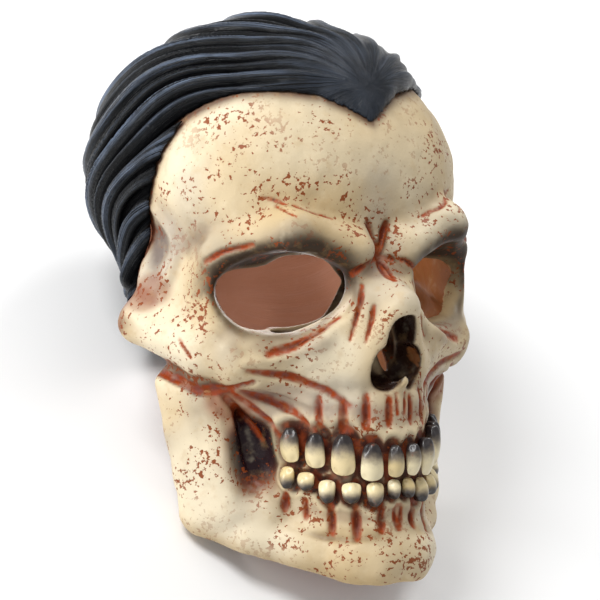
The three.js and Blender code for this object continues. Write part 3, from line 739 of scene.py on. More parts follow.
def sculpt(mesh, strokes):
    """Pushes the surface in along every stroke, and keeps how much rust and shade each leaves."""
    points = positions(mesh)
    tree = tree_of(points)
    depth, rust, shade = np.zeros((3, len(points)))
    for stroke in strokes:
        path = stroke_path(stroke["pixels"])
        for side in (1, -1):
            touched, value = stroke_reach(tree, stroke, path, side)
            depth[touched] += stroke["depth"] * value
            rust[touched] = np.maximum(rust[touched], stroke["rust"] * value)
            shade[touched] = np.maximum(shade[touched], stroke["shade"] * value)
    push(mesh, -np.minimum(depth, DEEPEST))
    return rust, shade


rust_marks, shade_marks = sculpt(bone_mesh, face_strokes)
print("rust on", int((rust_marks > 0.3).sum()), "points")

# %% [markdown]
# A hand-made surface is never even. Smooth random values in patches of a given size raise and lower it
# a little, and later vary its colours. The seed is fixed, so every run gives the same mask.

# %% Uneven surface
LATTICE = 48


def cloud(points, size, seed):
    """Smooth random values between 0 and 1, in patches about size millimetres across."""
    lattice = np.random.default_rng(seed).random((LATTICE, LATTICE, LATTICE))
    at = points / size
    base = np.floor(at).astype(int)
    part = at - base
    part = part * part * (3 - 2 * part)
    value = np.zeros(len(points))
    for corner in np.ndindex(2, 2, 2):
        weight = np.prod(np.where(corner, part, 1 - part), axis=1)
        cell = (base + np.array(corner)) % LATTICE
        value += weight * lattice[cell[:, 0], cell[:, 1], cell[:, 2]]
    return value


def roughen(mesh, lumps):
    points = positions(mesh)
    push(mesh, sum(row["height"] * (cloud(points, row["size"], row["seed"]) - 0.5) for row in lumps))


lumps = table(["size", "height", "seed"], [[26, 2.0, 1], [11, 1.0, 2], [4.5, 0.5, 3]])
roughen(bone_mesh, lumps)
print("uneven by up to", sum(row["height"] for row in lumps) / 2, "mm either way")

# %% [markdown]
# A fine grid spends as many faces on a plain cheek as on a furrow. The Decimate modifier joins faces
# where little is lost, so the piece stays light and its carving stays sharp.

# %% Fewer faces where it is plain
MOST_TRIANGLES = 190000


def plain_mesh(piece):
    """The piece's mesh with its modifiers' result in it, and the modifiers gone."""
    graph = bpy.context.evaluated_depsgraph_get()
    plain = bpy.data.meshes.new_from_object(piece.evaluated_get(graph))
    piece.modifiers.clear()
    piece.data = plain
    return plain


def thinned(name, mesh):
    piece = add_object(name, mesh)
    triangles = sum(len(face.vertices) - 2 for face in mesh.polygons)
    if triangles > MOST_TRIANGLES:
        thin = piece.modifiers.new("thin", "DECIMATE")
        thin.ratio = MOST_TRIANGLES / triangles
        plain_mesh(piece).name = name
    piece.data.polygons.foreach_set("use_smooth", [True] * len(piece.data.polygons))
    return piece


bone_before = positions(bone_mesh)
bone_piece = thinned("bone_face", bone_mesh)
print("bone face", len(bone_piece.data.polygons), "faces")

# %% [markdown]
# The hair is moulded in one cap with the mask. Its locks fan out from the widow's peak, run over the
# crown and meet at the nape, like lines of longitude round a tilted axis. The turn round that axis says
# which lock a point is on. Ridges by the turn make the locks, and slow waves bend them. Under its edge
# the cap laps over the bone. Its wall is thick enough that no furrow between locks reaches the lining.

# %% Locks of hair
LOCK_AXIS = math.atan2(up(38), back(70))
CROWN = (0.0, back(45.9), up(14))
RIDGE_LEVEL = 0.72
locks = table(["count", "relief", "grows"], [
    [21, 2.4, (0.03, 0.3)], [43, 4.8, (0.2, 0.7)], [97, 1.6, (0.5, 1.1)],
])


def lock_place(x, y, z):
    """Turn round the lock axis and angle from its front pole, in radians."""
    dy, dz = y - CROWN[1], z - CROWN[2]
    ahead = dy * math.cos(LOCK_AXIS) - dz * math.sin(LOCK_AXIS)
    rise = dy * math.sin(LOCK_AXIS) + dz * math.cos(LOCK_AXIS)
    turn = np.arctan2(x, rise)
    polar = np.arctan2(np.hypot(x, rise), -ahead)
    wave = 0.09 * np.sin(2.6 * polar + 3 * turn) + 0.05 * np.sin(5.2 * polar - 5 * turn + 1)
    return turn + wave * np.sin(polar), polar


def ridges(turn, count):
    return np.abs(np.cos(turn * count / 2)) - RIDGE_LEVEL


def relief_of(rows, turn, polar):
    return sum(row["relief"] * ridges(turn, row["count"]) * rising(polar, *row["grows"]) for row in rows)


print("locks", [row["count"] for row in locks], "round the head")

# %% [markdown]
# The hairline is sharp and the bone meets it without a step, so the cap's outside is held close to the
# bone near the line and set free further in. That needs the distance from the line, measured on the
# head's surface as if it were unrolled.

# %% The cap of hair
HAIR_WALL = 7.5
LAP = 10.0
TONGUE = 1.8
EDGE_RISE = 1.6
EDGE_SLOPE = 0.9
EDGE_BLEND = 3.0
HAIR_FLOOR = -64.0
DEGREE_LENGTH = MASK_WIDTH * math.pi / 360


def edge_distance(heights, angles):
    """Distance from the hairline on the unrolled head, positive in the hair."""
    line = [(angle * DEGREE_LENGTH, up(height)) for angle, height in hairline_rows]
    around = (angles * DEGREE_LENGTH)[:, None]
    nearest = np.full((len(angles), len(heights)), 1e9)
    for (u1, v1), (u2, v2) in zip(line, line[1:]):
        run = (u2 - u1, v2 - v1)
        along = ((around - u1) * run[0] + (heights - v1) * run[1]) / (run[0] ** 2 + run[1] ** 2)
        along = np.clip(along, 0, 1)
        away = np.hypot(around - u1 - along * run[0], heights - v1 - along * run[1])
        nearest = np.minimum(nearest, away)
    above = heights > np.interp(angles, *zip(*[(a, up(h)) for a, h in hairline_rows]))[:, None]
    return np.where(above, nearest, -nearest)


hair = empty_field()
for row in hair_rounds:
    stamp(hair, row, round_field, round_box)
first = int(np.searchsorted(axes[2], HAIR_FLOOR))
full_x = np.concatenate([-axes[0][:0:-1], axes[0]])
gx, gy, gz = full_x[:, None, None], axes[1][None, :, None], axes[2][None, None, first:]
whole_degrees = np.arange(0, 182.0)
unrolled = edge_distance(axes[2][first:], whole_degrees).astype(np.float32)
angle = head_angle(full_x[:, None], axes[1][None, :])
low_degree = angle.astype(int)
part = (angle - low_degree)[:, :, None].astype(np.float32)
edge = unrolled[low_degree] * (1 - part) + unrolled[low_degree + 1] * part
lock_turn, lock_polar = lock_place(gx, gy, gz)
full_hair = mirrored(hair)[:, :, first:]
near_bone = full_bone[:, :, first:]
limit = near_bone - (EDGE_RISE + EDGE_SLOPE * np.maximum(edge, 0))
outer = carve(full_hair - relief_of(locks, lock_turn, lock_polar), -limit, EDGE_BLEND)
lap_end = gz - (mirrored(hairline_plan) + LAP + GAP)
shell = np.maximum(outer, -(full_hair + HAIR_WALL))
rim = np.maximum(np.maximum(outer, GAP - near_bone), lap_end)
cap = np.minimum(shell, rim)
cap = np.maximum(cap, TONGUE * ridges(lock_turn, locks[2]["count"]) - edge)
cap = np.maximum(cap, mirrored(lower_plan) - gz)
cap = np.maximum(cap, -np.maximum(near_bone - GAP, lap_end))
grid_lift = np.array([0, 0, first * VOXEL])
points, triangles, quads = polygons(cap)
hair_mesh = piece_mesh("hair", points + grid_lift, triangles, quads)
relax(hair_mesh, 1)
print("hair", len(hair_mesh.polygons), "faces of four")

# %% [markdown]
# Strands are the fine comb marks along the locks, so they follow the same turn. They are cut into the
# outside only, and the comb's own coordinates are kept on the mesh for the finer marks of the finish.

# %% Strands
strands = table(["count", "relief", "grows"], [[173, 0.8, (0.5, 1.0)], [307, 0.4, (0.8, 1.3)]])


def keep(mesh, name, kind, values):
    """Stores a value for every point under a name that a material or a node tree can read."""
    part = "value" if kind == "FLOAT" else "vector"
    mesh.attributes.new(name, kind, "POINT").data.foreach_set(part, np.ravel(values))


def comb(mesh):
    points = positions(mesh)
    turn, polar = lock_place(*points.T)
    keep(mesh, "comb", "FLOAT_VECTOR", np.stack([turn * 20, polar * 2, np.zeros(len(turn))], 1))
    height = sum(row["relief"] * (ridges(turn, row["count"]) + RIDGE_LEVEL) for row in locks)
    height = height / sum(row["relief"] for row in locks)
    smooth = rising(polar, 0.15, 0.8)
    keep(mesh, "ridge", "FLOAT", height * smooth + 0.8 * (1 - smooth))


def hair_values(points, field):
    return sampled(field, points - grid_lift)


points, outward = positions(hair_mesh), normals(hair_mesh)
outside = hair_values(points + outward * 2, outer) > hair_values(points, outer)
outside &= hair_values(points, outer) > -HAIR_WALL / 3
push(hair_mesh, relief_of(strands, *lock_place(*points.T)) * outside)
hair_piece = thinned("hair", hair_mesh)
comb(hair_piece.data)
print("hair", len(hair_piece.data.polygons), "faces")

# %% [markdown]
# Node trees are written in code here, so three helpers keep that short. One sets or links an input, one
# adds a node with its settings, and one gives the maths nodes of a tree their usual names.

# %% Helpers for node trees
MATHS = ["ADD", "SUBTRACT", "MULTIPLY", "POWER", "ABSOLUTE", "SQRT", "MAXIMUM", "SINE"]


def feed(tree, socket, value):
    """Sets an input to a number or a colour, or links it to another node's output."""
    if isinstance(value, bpy.types.NodeSocket):
        tree.links.new(value, socket)
    else:
        socket.default_value = value


def add_node(tree, kind, **settings):
    node = tree.nodes.new(kind)
    for key, value in settings.items():
        if key in node.inputs:
            feed(tree, node.inputs[key], value)
        else:
            setattr(node, key, value)
    return node


def maths(tree):
    """Functions named after the maths nodes: each adds its node to the tree and returns its output."""
    def adder(operation):
        def result_of(*values):
            node = add_node(tree, "ShaderNodeMath", operation=operation)
            for socket, value in zip(node.inputs, values):
                feed(tree, socket, value)
            return node.outputs[0]
        return result_of
    return SimpleNamespace(**{name.lower(): adder(name) for name in MATHS})


print("maths nodes", len(MATHS))

# %% [markdown]
# A tooth is a block whose corners are drawn towards a ball, narrower at its root and thinner at its
# edge. Geometry Nodes shape one tooth and set a copy on each place, turned and scaled by what the
# points carry. Named inputs keep the shape adjustable, and the copies are realized at the end.

# %% Teeth by Geometry Nodes
def rounded(sums, own, other, level, squareness, end):
    """One coordinate of a cube's point, drawn in as the other two leave the middle."""
    pull = sums.multiply(sums.power(sums.absolute(other), 2.0), squareness)
    ends = sums.multiply(sums.power(sums.absolute(level), 4.0), end)
    left = sums.subtract(sums.subtract(1.0, pull), ends)
    return sums.multiply(own, sums.sqrt(sums.maximum(left, 0.05)))


def tooth_position(tree, root, edge, front):
    """Where each point of the cube goes, and its level: 0 at the root and 1 at the biting edge."""
    sums = maths(tree)
    place = add_node(tree, "GeometryNodeInputPosition")
    parts = add_node(tree, "ShaderNodeSeparateXYZ", Vector=place.outputs[0]).outputs
    double = [sums.multiply(part, 2.0) for part in parts]
    level = sums.add(parts[2], 0.5)
    x = rounded(sums, parts[0], double[1], double[2], 0.45, 0.30)
    y = rounded(sums, parts[1], double[0], double[2], 0.60, 0.35)
    z = rounded(sums, parts[2], double[0], double[1], 0.30, 0.10)
    width = sums.add(root, sums.multiply(sums.subtract(1.0, root), sums.power(level, 0.6)))
    depth = sums.subtract(1.0, sums.multiply(sums.subtract(1.0, edge), sums.power(level, 2.0)))
    bulge = sums.multiply(sums.sine(sums.multiply(level, math.pi)), front)
    x, y = sums.multiply(x, width), sums.subtract(sums.multiply(y, depth), bulge)
    return add_node(tree, "ShaderNodeCombineXYZ", X=x, Y=y, Z=z).outputs[0], level


def tooth_tree():
    tree = bpy.data.node_groups.new("teeth", "GeometryNodeTree")
    face = tree.interface
    face.new_socket("Places", in_out="INPUT", socket_type="NodeSocketGeometry")
    sizes = {"Root width": 0.70, "Edge thickness": 0.55, "Front bulge": 0.10}
    for name, value in sizes.items():
        face.new_socket(name, in_out="INPUT", socket_type="NodeSocketFloat").default_value = value
    face.new_socket("Finish", in_out="INPUT", socket_type="NodeSocketMaterial")
    face.new_socket("Teeth", in_out="OUTPUT", socket_type="NodeSocketGeometry")
    entry = tree.nodes.new("NodeGroupInput").outputs
    place, level = tooth_position(tree, *[entry[name] for name in sizes])
    cube = add_node(tree, "GeometryNodeMeshCube", **{"Vertices X": 6, "Vertices Y": 5, "Vertices Z": 8})
    kept = add_node(
        tree, "GeometryNodeStoreNamedAttribute", Geometry=cube.outputs["Mesh"], Name="level", Value=level)
    shape = add_node(tree, "GeometryNodeSetPosition", Geometry=kept.outputs[0], Position=place)
    fine = add_node(tree, "GeometryNodeSubdivisionSurface", Mesh=shape.outputs[0], Level=2)
    turn, size = [
        add_node(tree, "GeometryNodeInputNamedAttribute", data_type="FLOAT_VECTOR", Name=name)
        for name in ("turn", "size")
    ]
    copies = add_node(
        tree, "GeometryNodeInstanceOnPoints", Points=entry["Places"], Instance=fine.outputs[0],
        Rotation=turn.outputs["Attribute"], Scale=size.outputs["Attribute"])
    real = add_node(tree, "GeometryNodeRealizeInstances", Geometry=copies.outputs[0])
    coat = add_node(tree, "GeometryNodeSetMaterial", Geometry=real.outputs[0], Material=entry["Finish"])
    leave = tree.nodes.new("NodeGroupOutput")
    tree.links.new(coat.outputs[0], leave.inputs[0])
    return tree


def teeth_piece(name, places, tree, finish, seed):
    mesh = bpy.data.meshes.new(name)
    mesh.from_pydata([place["middle"] for place in places], [], [])
    turns = [
        (0, math.pi if place["upper"] else 0, math.atan2(place["outward"].x, -place["outward"].y))
        for place in places
    ]
    keep(mesh, "turn", "FLOAT_VECTOR", turns)
    keep(mesh, "size", "FLOAT_VECTOR", [place["size"] for place in places])
    keep(mesh, "tint", "FLOAT", np.random.default_rng(seed).random(len(places)))
    piece = add_object(name, mesh)
    modifier = piece.modifiers.new("teeth", "NODES")
    modifier.node_group = tree
    sockets = {item.name: item.identifier for item in tree.interface.items_tree if item.in_out == "INPUT"}
    modifier[sockets["Finish"]] = finish
    plain = plain_mesh(piece)
    plain.materials.clear()
    plain.materials.append(finish)
    plain.polygons.foreach_set("material_index", [0] * len(plain.polygons))
    plain.polygons.foreach_set("use_smooth", [True] * len(plain.polygons))
    return piece


# %% [markdown]
# The colour is built in thin layers: a cream ground, washes of ochre and grey, painted shade in every
# hollow, then dark rust in the furrows and a spray of rust specks over all. Each layer is a colour and a
# strength at every point of the mesh, so the layers are mixed in the same order here and kept as one
# colour attribute. Soft pools of paint, of painted shade and of a painted highlight are placed by the
# pixel in which their middle shows, with radii in millimetres. Finer marks than the mesh can hold are
# left to the material.

# %% Pools of paint and of painted shade
def colour(code):
    """A colour's linear values from its usual six digits."""
    values = np.array([int(code[start:start + 2], 16) / 255 for start in (0, 2, 4)])
    return np.where(values <= 0.04045, values / 12.92, ((values + 0.055) / 1.055) ** 2.4)


def layer(paint, code, strength):
    strength = np.clip(strength, 0, 1)[:, None]
    return paint * (1 - strength) + colour(code) * strength


def keep_colour(mesh, name, paint):
    values = np.concatenate([np.clip(paint, 0, 1), np.ones((len(paint), 1))], 1)
    mesh.color_attributes.new(name, "FLOAT_COLOR", "POINT").data.foreach_set("color", np.ravel(values))


# Pools named shade and the pool under the cheek arch are painted shade, the pool on the jaw branch is a
# painted highlight, and the others are paint.
pools = table(["name", "pixel", "radii", "code", "strength"], [
    ["recess_edge", (248, 450), (23, 30, 27), "64230F", 0.92],
    ["recess", (251, 447), (17, 28, 21), "1A0D14", 0.97],
    ["nose_root_shade", (372, 268), (12, 12, 7), "6B5242", 0.55],
    ["temple_shade", (162, 250), (12, 18, 30), "8D8580", 0.45],
    ["temple_low", (152, 290), (12, 16, 10), "7A3A1E", 0.6],
    # painted shade under the cheek arch
    ["arch_under", (165, 366), (34, 24, 7), "6A4630", 0.55],
    ["under_eye_shade", (292, 345), (26, 22, 7), "7F6A5A", 0.45],
    ["cheek_shade", (285, 400), (26, 26, 12), "8A7A74", 0.5],
    ["cheek_rust", (230, 402), (14, 20, 12), "7A2F10", 0.65],
    ["ear_rust", (140, 300), (10, 14, 8), "7A2F10", 0.5],
    ["gum_shade", (345, 418), (44, 24, 9), "6E5450", 0.5],
    ["root_shade", (345, 512), (44, 24, 7), "7A6152", 0.45],
    ["forehead_wash", (290, 150), (50, 40, 30), "B9A37C", 0.45],
    # painted highlight on the jaw branch
    ["branch_light", (200, 480), (20, 30, 34), "E4D6B8", 0.6],
    ["chin_shade", (350, 536), (30, 20, 5), "9A8158", 0.45],
])


def pool_strength(points, pool):
    """1 in the middle of a pool of paint or painted shade and 0 outside it, on both halves of the face."""
    hit = bone_tree.ray_cast(eye_point, pixel_ray(*pool["pixel"]))[0]
    offset = (np.abs(points) * [1, 0, 0] + points * [0, 1, 1] - [abs(hit.x), hit.y, hit.z]) / pool["radii"]
    return pool["strength"] * (1 - rising(np.linalg.norm(offset, axis=1), 0.6, 1.1))


print("pools", [pool["name"] for pool in pools])

# %% [markdown]
# The strengths of the layers come from the shape itself: how deep a point lies in a hollow, how near it
# is to an edge, a tooth or a stroke, and whether it is on the inside of the wall.

# %% Layers of paint
def nearest_marks(points):
    """The rust and shade that the strokes left, read at the nearest point of the unthinned mesh."""
    tree = tree_of(bone_before)
    found = np.array([tree.find(point)[1] for point in points])
    return rust_marks[found], shade_marks[found]


def hollowness(points, outward, length):
    """0 on an open surface, and 1 where a step of this length straight out meets the bone again."""
    return 1 - np.clip(sampled(full_bone, points + outward * length) / length, 0, 1)


def along_edge(distance, width):
    """1 at an edge and less and less on both sides of it."""
    return np.exp(-(distance / width) ** 2)


def paint_bone(mesh):
    points, outward = positions(mesh), normals(mesh)
    x, y, z = points.T
    depth = sampled(full_bone, points)
    inside = (sampled(full_bone, points + outward * 1.5) < depth) & (depth < -WALL / 3)
    # how hollow each point is, for the painted shade in hollows
    broad, close = hollowness(points, outward, 8), hollowness(points, outward, 3)
    rust, shade = nearest_marks(points)
    lip, pit = gum_marks(points)
    eye_edge = np.where(y < EYE_CUT_BACK, eye_distance(x, y, z), NOWHERE_NEAR)
    hair_edge = height_at(hairline_rows, x, y) - z
    side_edge = np.where(z > up(-8), (94 - head_angle(x, y)) * DEGREE_LENGTH, NOWHERE_NEAR)
    low_edge = z - height_at(lower_edge_rows, x, y)
    nose = np.minimum(*[round_field(row, np.abs(x), y, z) for row in nose_pocket])
    scumble = 0.55 + 0.45 * rising(cloud(points, 2.4, 16), 0.25, 0.6)
    roof = rising(z, -8, 8)
    gum_spots = rising(pit, 0.4, 1.0) * rising(cloud(points, 3, 17), 0.2, 0.5)
    # dark spray round the eye hole, wider and stronger at its top, where it is also painted shade under the
    # brow
    eye_spray_and_painted_shade = along_edge(np.maximum(eye_edge, 0), 5 + 8 * roof) * (eye_edge > -4)
    # painted shade on faces that look down, under the brow
    painted_shade_under_brow = rising(-outward[:, 2], -0.3, 0.35) * rising(-eye_edge, -28, -8) * (z > up(-1))
    layers = [
        ("pale cream", "D8CCB2", rising(cloud(points, 34, 11), 0.4, 0.8) * 0.8),
        ("ochre", "B39766", rising(cloud(points, 42, 12), 0.45, 0.9) * 0.5),
        ("warm grey", "A09B92", rising(cloud(points, 28, 13), 0.55, 0.9) * 0.5),
        # painted shade: the deeper a point lies in a hollow, the darker, in three steps
        ("brown painted shade in hollows", "85683F", rising(broad, 0.05, 0.8) * 0.75),
        ("deep painted shade in hollows", "574340", rising(broad, 0.3, 0.8) * 0.6),
        ("dark painted shade in narrow hollows", "3E2214", rising(close, 0.2, 0.8) * 0.85),
        *[(pool["name"], pool["code"], pool_strength(points, pool)) for pool in pools],
        # painted shade in the furrows, from the strokes' shade
        ("furrow shade", "5A4F55", rising(shade, 0.1, 0.5) * 0.8),
        # dark spray round the eye with painted shade at its top, then painted shade under the brow
        ("dark spray and painted shade round the eye", "2E1E13", eye_spray_and_painted_shade * (0.6 + 0.38 * roof)),
        ("painted shade under the brow", "35261A", painted_shade_under_brow * 0.9),
        # a pale band along the eye hole's edge, weaker towards its top
        ("pale rim of the eye", "C9B083", along_edge(eye_edge, 0.9) * 0.7 * (1 - roof * 0.6)),
        ("rust in the gum", "7E3214", rising(pit, 0.1, 0.8) * 0.97),
        ("dark spots in the gum", "200C0A", gum_spots * 0.85),
        # painted highlight on the raised lip of the gum round each tooth
        ("painted highlight on the gum lips", "DCCBA4", lip * 0.4),
        ("inside of the nose", "22120E", rising(-nose, -1.5, 0.4) * 0.96),
        ("rust in the strokes", "93390A", rising(rust, 0.10, 0.38) * scumble),
        ("dark rust", "3A140A", rising(rust, 0.45, 0.95) * scumble * 0.8),
        ("brown at the hairline", "451B0C", along_edge(np.maximum(hair_edge, 0), 3.8) * 0.9),
        ("brown before the ear", "6A2F18", along_edge(np.maximum(side_edge, 0), 4) * 0.7),
        ("ochre at the lower edge", "A88A56", along_edge(low_edge, 6) * 0.5),
        ("bare latex inside", "9A6238", inside * 1.0),
        ("stains inside", "70401C", inside * rising(cloud(points, 18, 14), 0.3, 0.8) * 0.6),
    ]
    ground = np.tile(colour("C9B694"), (len(points), 1))
    for _, code, strength in layers:
        ground = layer(ground, code, strength)
    keep_colour(mesh, "paint", ground)
    speckled = 0.35 + 0.65 * rising(cloud(points, 24, 15), 0.35, 0.75)
    keep(mesh, "specks", "FLOAT", np.clip((1 - inside) * speckled * rising(-nose, 0.5, -2), 0, 1))
    recess = next(pool for pool in pools if pool["name"] == "recess")
    keep(mesh, "gloss", "FLOAT", np.maximum(pool_strength(points, recess), rising(-nose, -1.2, 0.6)))
    return [name for name, _, _ in layers]


print("layers of paint", paint_bone(bone_piece.data))

# %% [markdown]
# The ground colour comes from the attribute. Over it lie marks at the scale of a brush's bristle: a
# faint mottle, rust specks from a flicked brush where the specks attribute allows them, and pores. The
# specks also sink a little in the bump, because paint gathers in real pits.

# %% The finish of the bone
def finish(name):
    material = bpy.data.materials.new(name)
    material.use_nodes = True
    tree = material.node_tree
    return material, tree, tree.nodes["Principled BSDF"]


def noise(tree, where, scale, detail=3.0, roughness=0.55):
    node = add_node(
        tree, "ShaderNodeTexNoise", Vector=where, Scale=scale, Detail=detail, Roughness=roughness)
    return node.outputs["Fac"]


def ramp(tree, value, start, end, low=0.0, high=1.0):
    node = add_node(tree, "ShaderNodeMapRange", interpolation_type="SMOOTHSTEP", **{
        "Value": value, "From Min": start, "From Max": end, "To Min": low, "To Max": high,
    })
    return node.outputs["Result"]


def mix(tree, below, over, strength):
    node = add_node(tree, "ShaderNodeMix", data_type="RGBA")
    for index, value in ((0, strength), (6, below), (7, over)):
        feed(tree, node.inputs[index], value)
    return node.outputs[2]


def rgba(code):
    return tuple(float(value) for value in colour(code)) + (1.0,)


def attribute(tree, name, output):
    return add_node(tree, "ShaderNodeAttribute", attribute_name=name).outputs[output]


def bump(tree, height, strength, distance, below=None):
    node = add_node(tree, "ShaderNodeBump", Height=height, Strength=strength, Distance=distance)
    if below is not None:
        feed(tree, node.inputs["Normal"], below)
    return node.outputs["Normal"]


def bone_finish():
    material, tree, shader = finish("painted_bone")
    sums = maths(tree)
    where = add_node(tree, "ShaderNodeTexCoord").outputs["Object"]
    ground = attribute(tree, "paint", "Color")
    allowed, gloss = attribute(tree, "specks", "Fac"), attribute(tree, "gloss", "Fac")
    mottle = noise(tree, where, 140.0, 4.0, 0.6)
    ground = mix(tree, ground, rgba("B08E5E"), ramp(tree, mottle, 0.52, 0.72, 0.0, 0.22))
    pale = ramp(tree, noise(tree, where, 90.0, 3.0), 0.55, 0.75, 0.0, 0.16)
    ground = mix(tree, ground, rgba("E4D8BC"), pale)
    dots = noise(tree, where, 380.0, 3.0, 0.6)
    groups = noise(tree, where, 60.0, 2.0, 0.5)
    specks = ramp(tree, sums.add(dots, sums.multiply(groups, 0.50)), 0.855, 0.885)
    specks = sums.multiply(specks, ramp(tree, allowed, 0.15, 0.7))
    feed(tree, shader.inputs["Base Color"], mix(tree, ground, rgba("803A10"), sums.multiply(specks, 0.95)))
    pores = bump(tree, noise(tree, where, 900.0, 2.0, 0.6), 0.12, 0.0006)
    pits = bump(tree, sums.subtract(1.0, specks), 0.35, 0.0007, pores)
    feed(tree, shader.inputs["Normal"], bump(tree, mottle, 0.25, 0.0012, pits))
    dull = ramp(tree, mottle, 0.3, 0.7, 0.42, 0.56)
    feed(tree, shader.inputs["Roughness"], sums.subtract(dull, sums.multiply(gloss, 0.24)))
    shader.inputs["Specular IOR Level"].default_value = 0.2
    return material


print("helpers for finishes are ready")

# %% [markdown]
# The hair is painted black over a wet-looking coat. Comb marks finer than the mesh run along the locks
# by the comb coordinates, so they bend with every lock. The valleys between the locks are darkened as
# painted shade, and a trace of blue-grey on the ridges is a painted highlight.

# %% The finish of the hair
def hair_finish():
    material, tree, shader = finish("moulded_hair")
    sums = maths(tree)
    where = add_node(tree, "ShaderNodeTexCoord").outputs["Object"]
    combed = attribute(tree, "comb", "Vector")
    stretched = add_node(tree, "ShaderNodeMapping", Vector=combed, Scale=(6.0, 0.5, 1.0)).outputs[0]
    fine = noise(tree, stretched, 1.6, 3.0, 0.6)
    dust = noise(tree, where, 70.0, 3.0)
    ridge = attribute(tree, "ridge", "Fac")
    ink_and_painted_light = mix(tree, rgba("050608"), rgba("1A2028"), ramp(tree, fine, 0.5, 0.72, 0.0, 0.8))
    # painted shade: the valleys between the locks are darker
    ink_and_painted_light = mix(tree, rgba("010102"), ink_and_painted_light, ramp(tree, ridge, 0.35, 0.85))
    # painted highlight: blue-grey on the ridges of the locks
    ridge_painted_highlight = sums.multiply(ramp(tree, ridge, 0.68, 0.97), ramp(tree, fine, 0.38, 0.62))
    ink_and_painted_light = mix(tree, ink_and_painted_light, rgba("66748A"), sums.multiply(ridge_painted_highlight, 0.75))
    ink_and_painted_light = mix(tree, ink_and_painted_light, rgba("040405"), ramp(tree, dust, 0.4, 0.7, 0.0, 0.5))
    lining = attribute(tree, "lining", "Fac")
    feed(tree, shader.inputs["Base Color"], mix(tree, ink_and_painted_light, attribute(tree, "paint", "Color"), lining))
    feed(tree, shader.inputs["Normal"], bump(tree, fine, 0.55, 0.0010))
    feed(tree, shader.inputs["Roughness"], ramp(tree, fine, 0.3, 0.7, 0.22, 0.36))
    feed(tree, shader.inputs["Specular IOR Level"], ramp(tree, ridge, 0.45, 0.9, 0.02, 0.22))
    return material


def paint_hair(mesh):
    points, outward = positions(mesh), normals(mesh)
    inside = hair_values(points, full_hair) < -0.9 * HAIR_WALL
    lining = np.tile(colour("B5836A"), (len(points), 1))
    lining = layer(lining, "94644C", rising(cloud(points, 30, 21), 0.4, 0.8) * 0.6)
    keep_colour(mesh, "paint", lining)
    keep(mesh, "lining", "FLOAT", inside.astype(float))
    return int(inside.sum())


print("points of the hair's lining", paint_hair(hair_piece.data))


# %% [markdown]
# Teeth are ivory at the edge and slate blue-grey at the neck, with a warm brown between and a sealing
# coat that makes them the glossiest part of the face. The level attribute says how far a point is from
# the root.

# %% The finish of the teeth
def tooth_finish():
    material, tree, shader = finish("enamel")
    sums = maths(tree)
    where = add_node(tree, "ShaderNodeTexCoord").outputs["Object"]
    level, tint = attribute(tree, "level", "Fac"), attribute(tree, "tint", "Fac")
    stain = noise(tree, where, 190.0, 4.0, 0.6)
    wavy = sums.add(level, sums.multiply(sums.subtract(stain, 0.5), 0.35))
    ivory = mix(tree, rgba("E6D9B4"), rgba("D2BC88"), tint)
    shade = mix(tree, rgba("231D1E"), rgba("7F7362"), ramp(tree, wavy, 0.12, 0.45))
    enamel = mix(tree, shade, ivory, ramp(tree, wavy, 0.30, 0.70))
    enamel = mix(tree, enamel, rgba("7A3A1C"), ramp(tree, stain, 0.62, 0.74, 0.0, 0.55))
    feed(tree, shader.inputs["Base Color"], enamel)
    feed(tree, shader.inputs["Normal"], bump(tree, stain, 0.2, 0.0008))
    for name, value in (("Roughness", 0.36), ("Coat Weight", 0.15), ("Coat Roughness", 0.15)):
        shader.inputs[name].default_value = value
    return material


bone_piece.data.materials.append(bone_finish())
hair_piece.data.materials.append(hair_finish())
tree, enamel = tooth_tree(), tooth_finish()
upper_piece = teeth_piece("upper_teeth", upper_places, tree, enamel, 31)
lower_piece = teeth_piece("lower_teeth", lower_places, tree, enamel, 32)
print("teeth", len(upper_piece.data.polygons) + len(lower_piece.data.polygons), "faces")

# %% [markdown]
# Now the mask is laid down. Each piece's points are moved, not its object, so that its object stays at
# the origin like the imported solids. Where the soft skin rests, it is pressed flat: no point stays under
# the floor. Each piece rides on the one body and stands for its solids.

# %% Laying the mask down
upper_nodes = [f"upper_tooth_{number}" for number in range(1, 11)]
lower_nodes = [f"lower_tooth_{number}" for number in range(1, 13)]
for piece, slot, nodes in [
    (bone_piece, "bone", ["face_shell", "lower_jaw"]), (hair_piece, "hair", ["hair_cap"]),
    (upper_piece, "tooth", upper_nodes), (lower_piece, "tooth", lower_nodes),
]:
    piece.data.transform(laid_down)
    points = positions(piece.data)
    points[:, 2] = np.maximum(points[:, 2], 0)
    move_to(piece.data, points)
    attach(piece, "root")
    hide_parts(*nodes)
    print(piece.name, len(piece.data.polygons), "faces in", piece.data.materials[0].name)

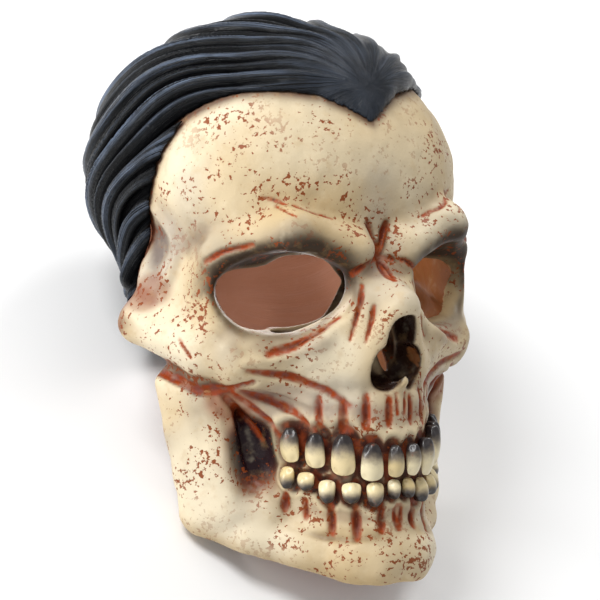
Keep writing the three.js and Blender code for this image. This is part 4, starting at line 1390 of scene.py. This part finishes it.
# %% [markdown]
# The mask lies on a plain pale floor. A large lamp above the face gives most of the light, a weaker one
# fills the near side and a third one follows the rim of the hair. A small lamp inside stands for the
# light that comes in by the neck, and the sky is even.

# %% Floor and light
FLOOR_SIZE = 12.0
middle = Vector((0, 0, 0.11))


def add_floor():
    mesh = bpy.data.meshes.new("floor")
    half = FLOOR_SIZE / 2
    corners = [(-half, -half, 0), (half, -half, 0), (half, half, 0), (-half, half, 0)]
    mesh.from_pydata(corners, [], [(0, 1, 2, 3)])
    floor = add_object("floor", mesh)
    material, _, shader = finish("pale_floor")
    shader.inputs["Base Color"].default_value = rgba("F4F4F4")
    shader.inputs["Roughness"].default_value = 0.9
    shader.inputs["Specular IOR Level"].default_value = 0.1
    mesh.materials.append(material)
    return floor


def add_lamp(row):
    data = bpy.data.lights.new(row["name"], "AREA")
    data.shape = "DISK"
    data.size = row["size"]
    data.energy = row["power"]
    turned = view_towards * row["towards"] + view_up * row["above"] + view_right * row["aside"]
    lamp = add_object(row["name"], data)
    lamp.location = middle + lying.to_3x3() @ turned.normalized() * row["distance"]
    lamp.rotation_euler = (middle - lamp.location).to_track_quat("-Z", "Y").to_euler()


def add_inner_lamp(power, size, place):
    data = bpy.data.lights.new("inner_lamp", "POINT")
    data.energy = power
    data.shadow_soft_size = size
    add_object("inner_lamp", data).location = place


add_floor()
for row in table(["name", "towards", "above", "aside", "distance", "size", "power"], [
    ["key_lamp", 0.9, 0.9, -0.35, 1.6, 0.7, 19.8],
    ["side_lamp", 0.5, 0.25, -1.0, 1.6, 0.5, 12],
    ["rim_lamp", -0.15, 1.0, 0.5, 1.4, 0.5, 8],
]):
    add_lamp(row)
add_inner_lamp(0.15, 0.03, (0, 0.03, 0.10))
world = bpy.data.worlds.new("sky")
world.use_nodes = True
world.node_tree.nodes["Background"].inputs["Color"].default_value = (1, 1, 1, 1)
world.node_tree.nodes["Background"].inputs["Strength"].default_value = 0.5
bpy.context.scene.world = world
bpy.context.scene.view_settings.view_transform = "Standard"
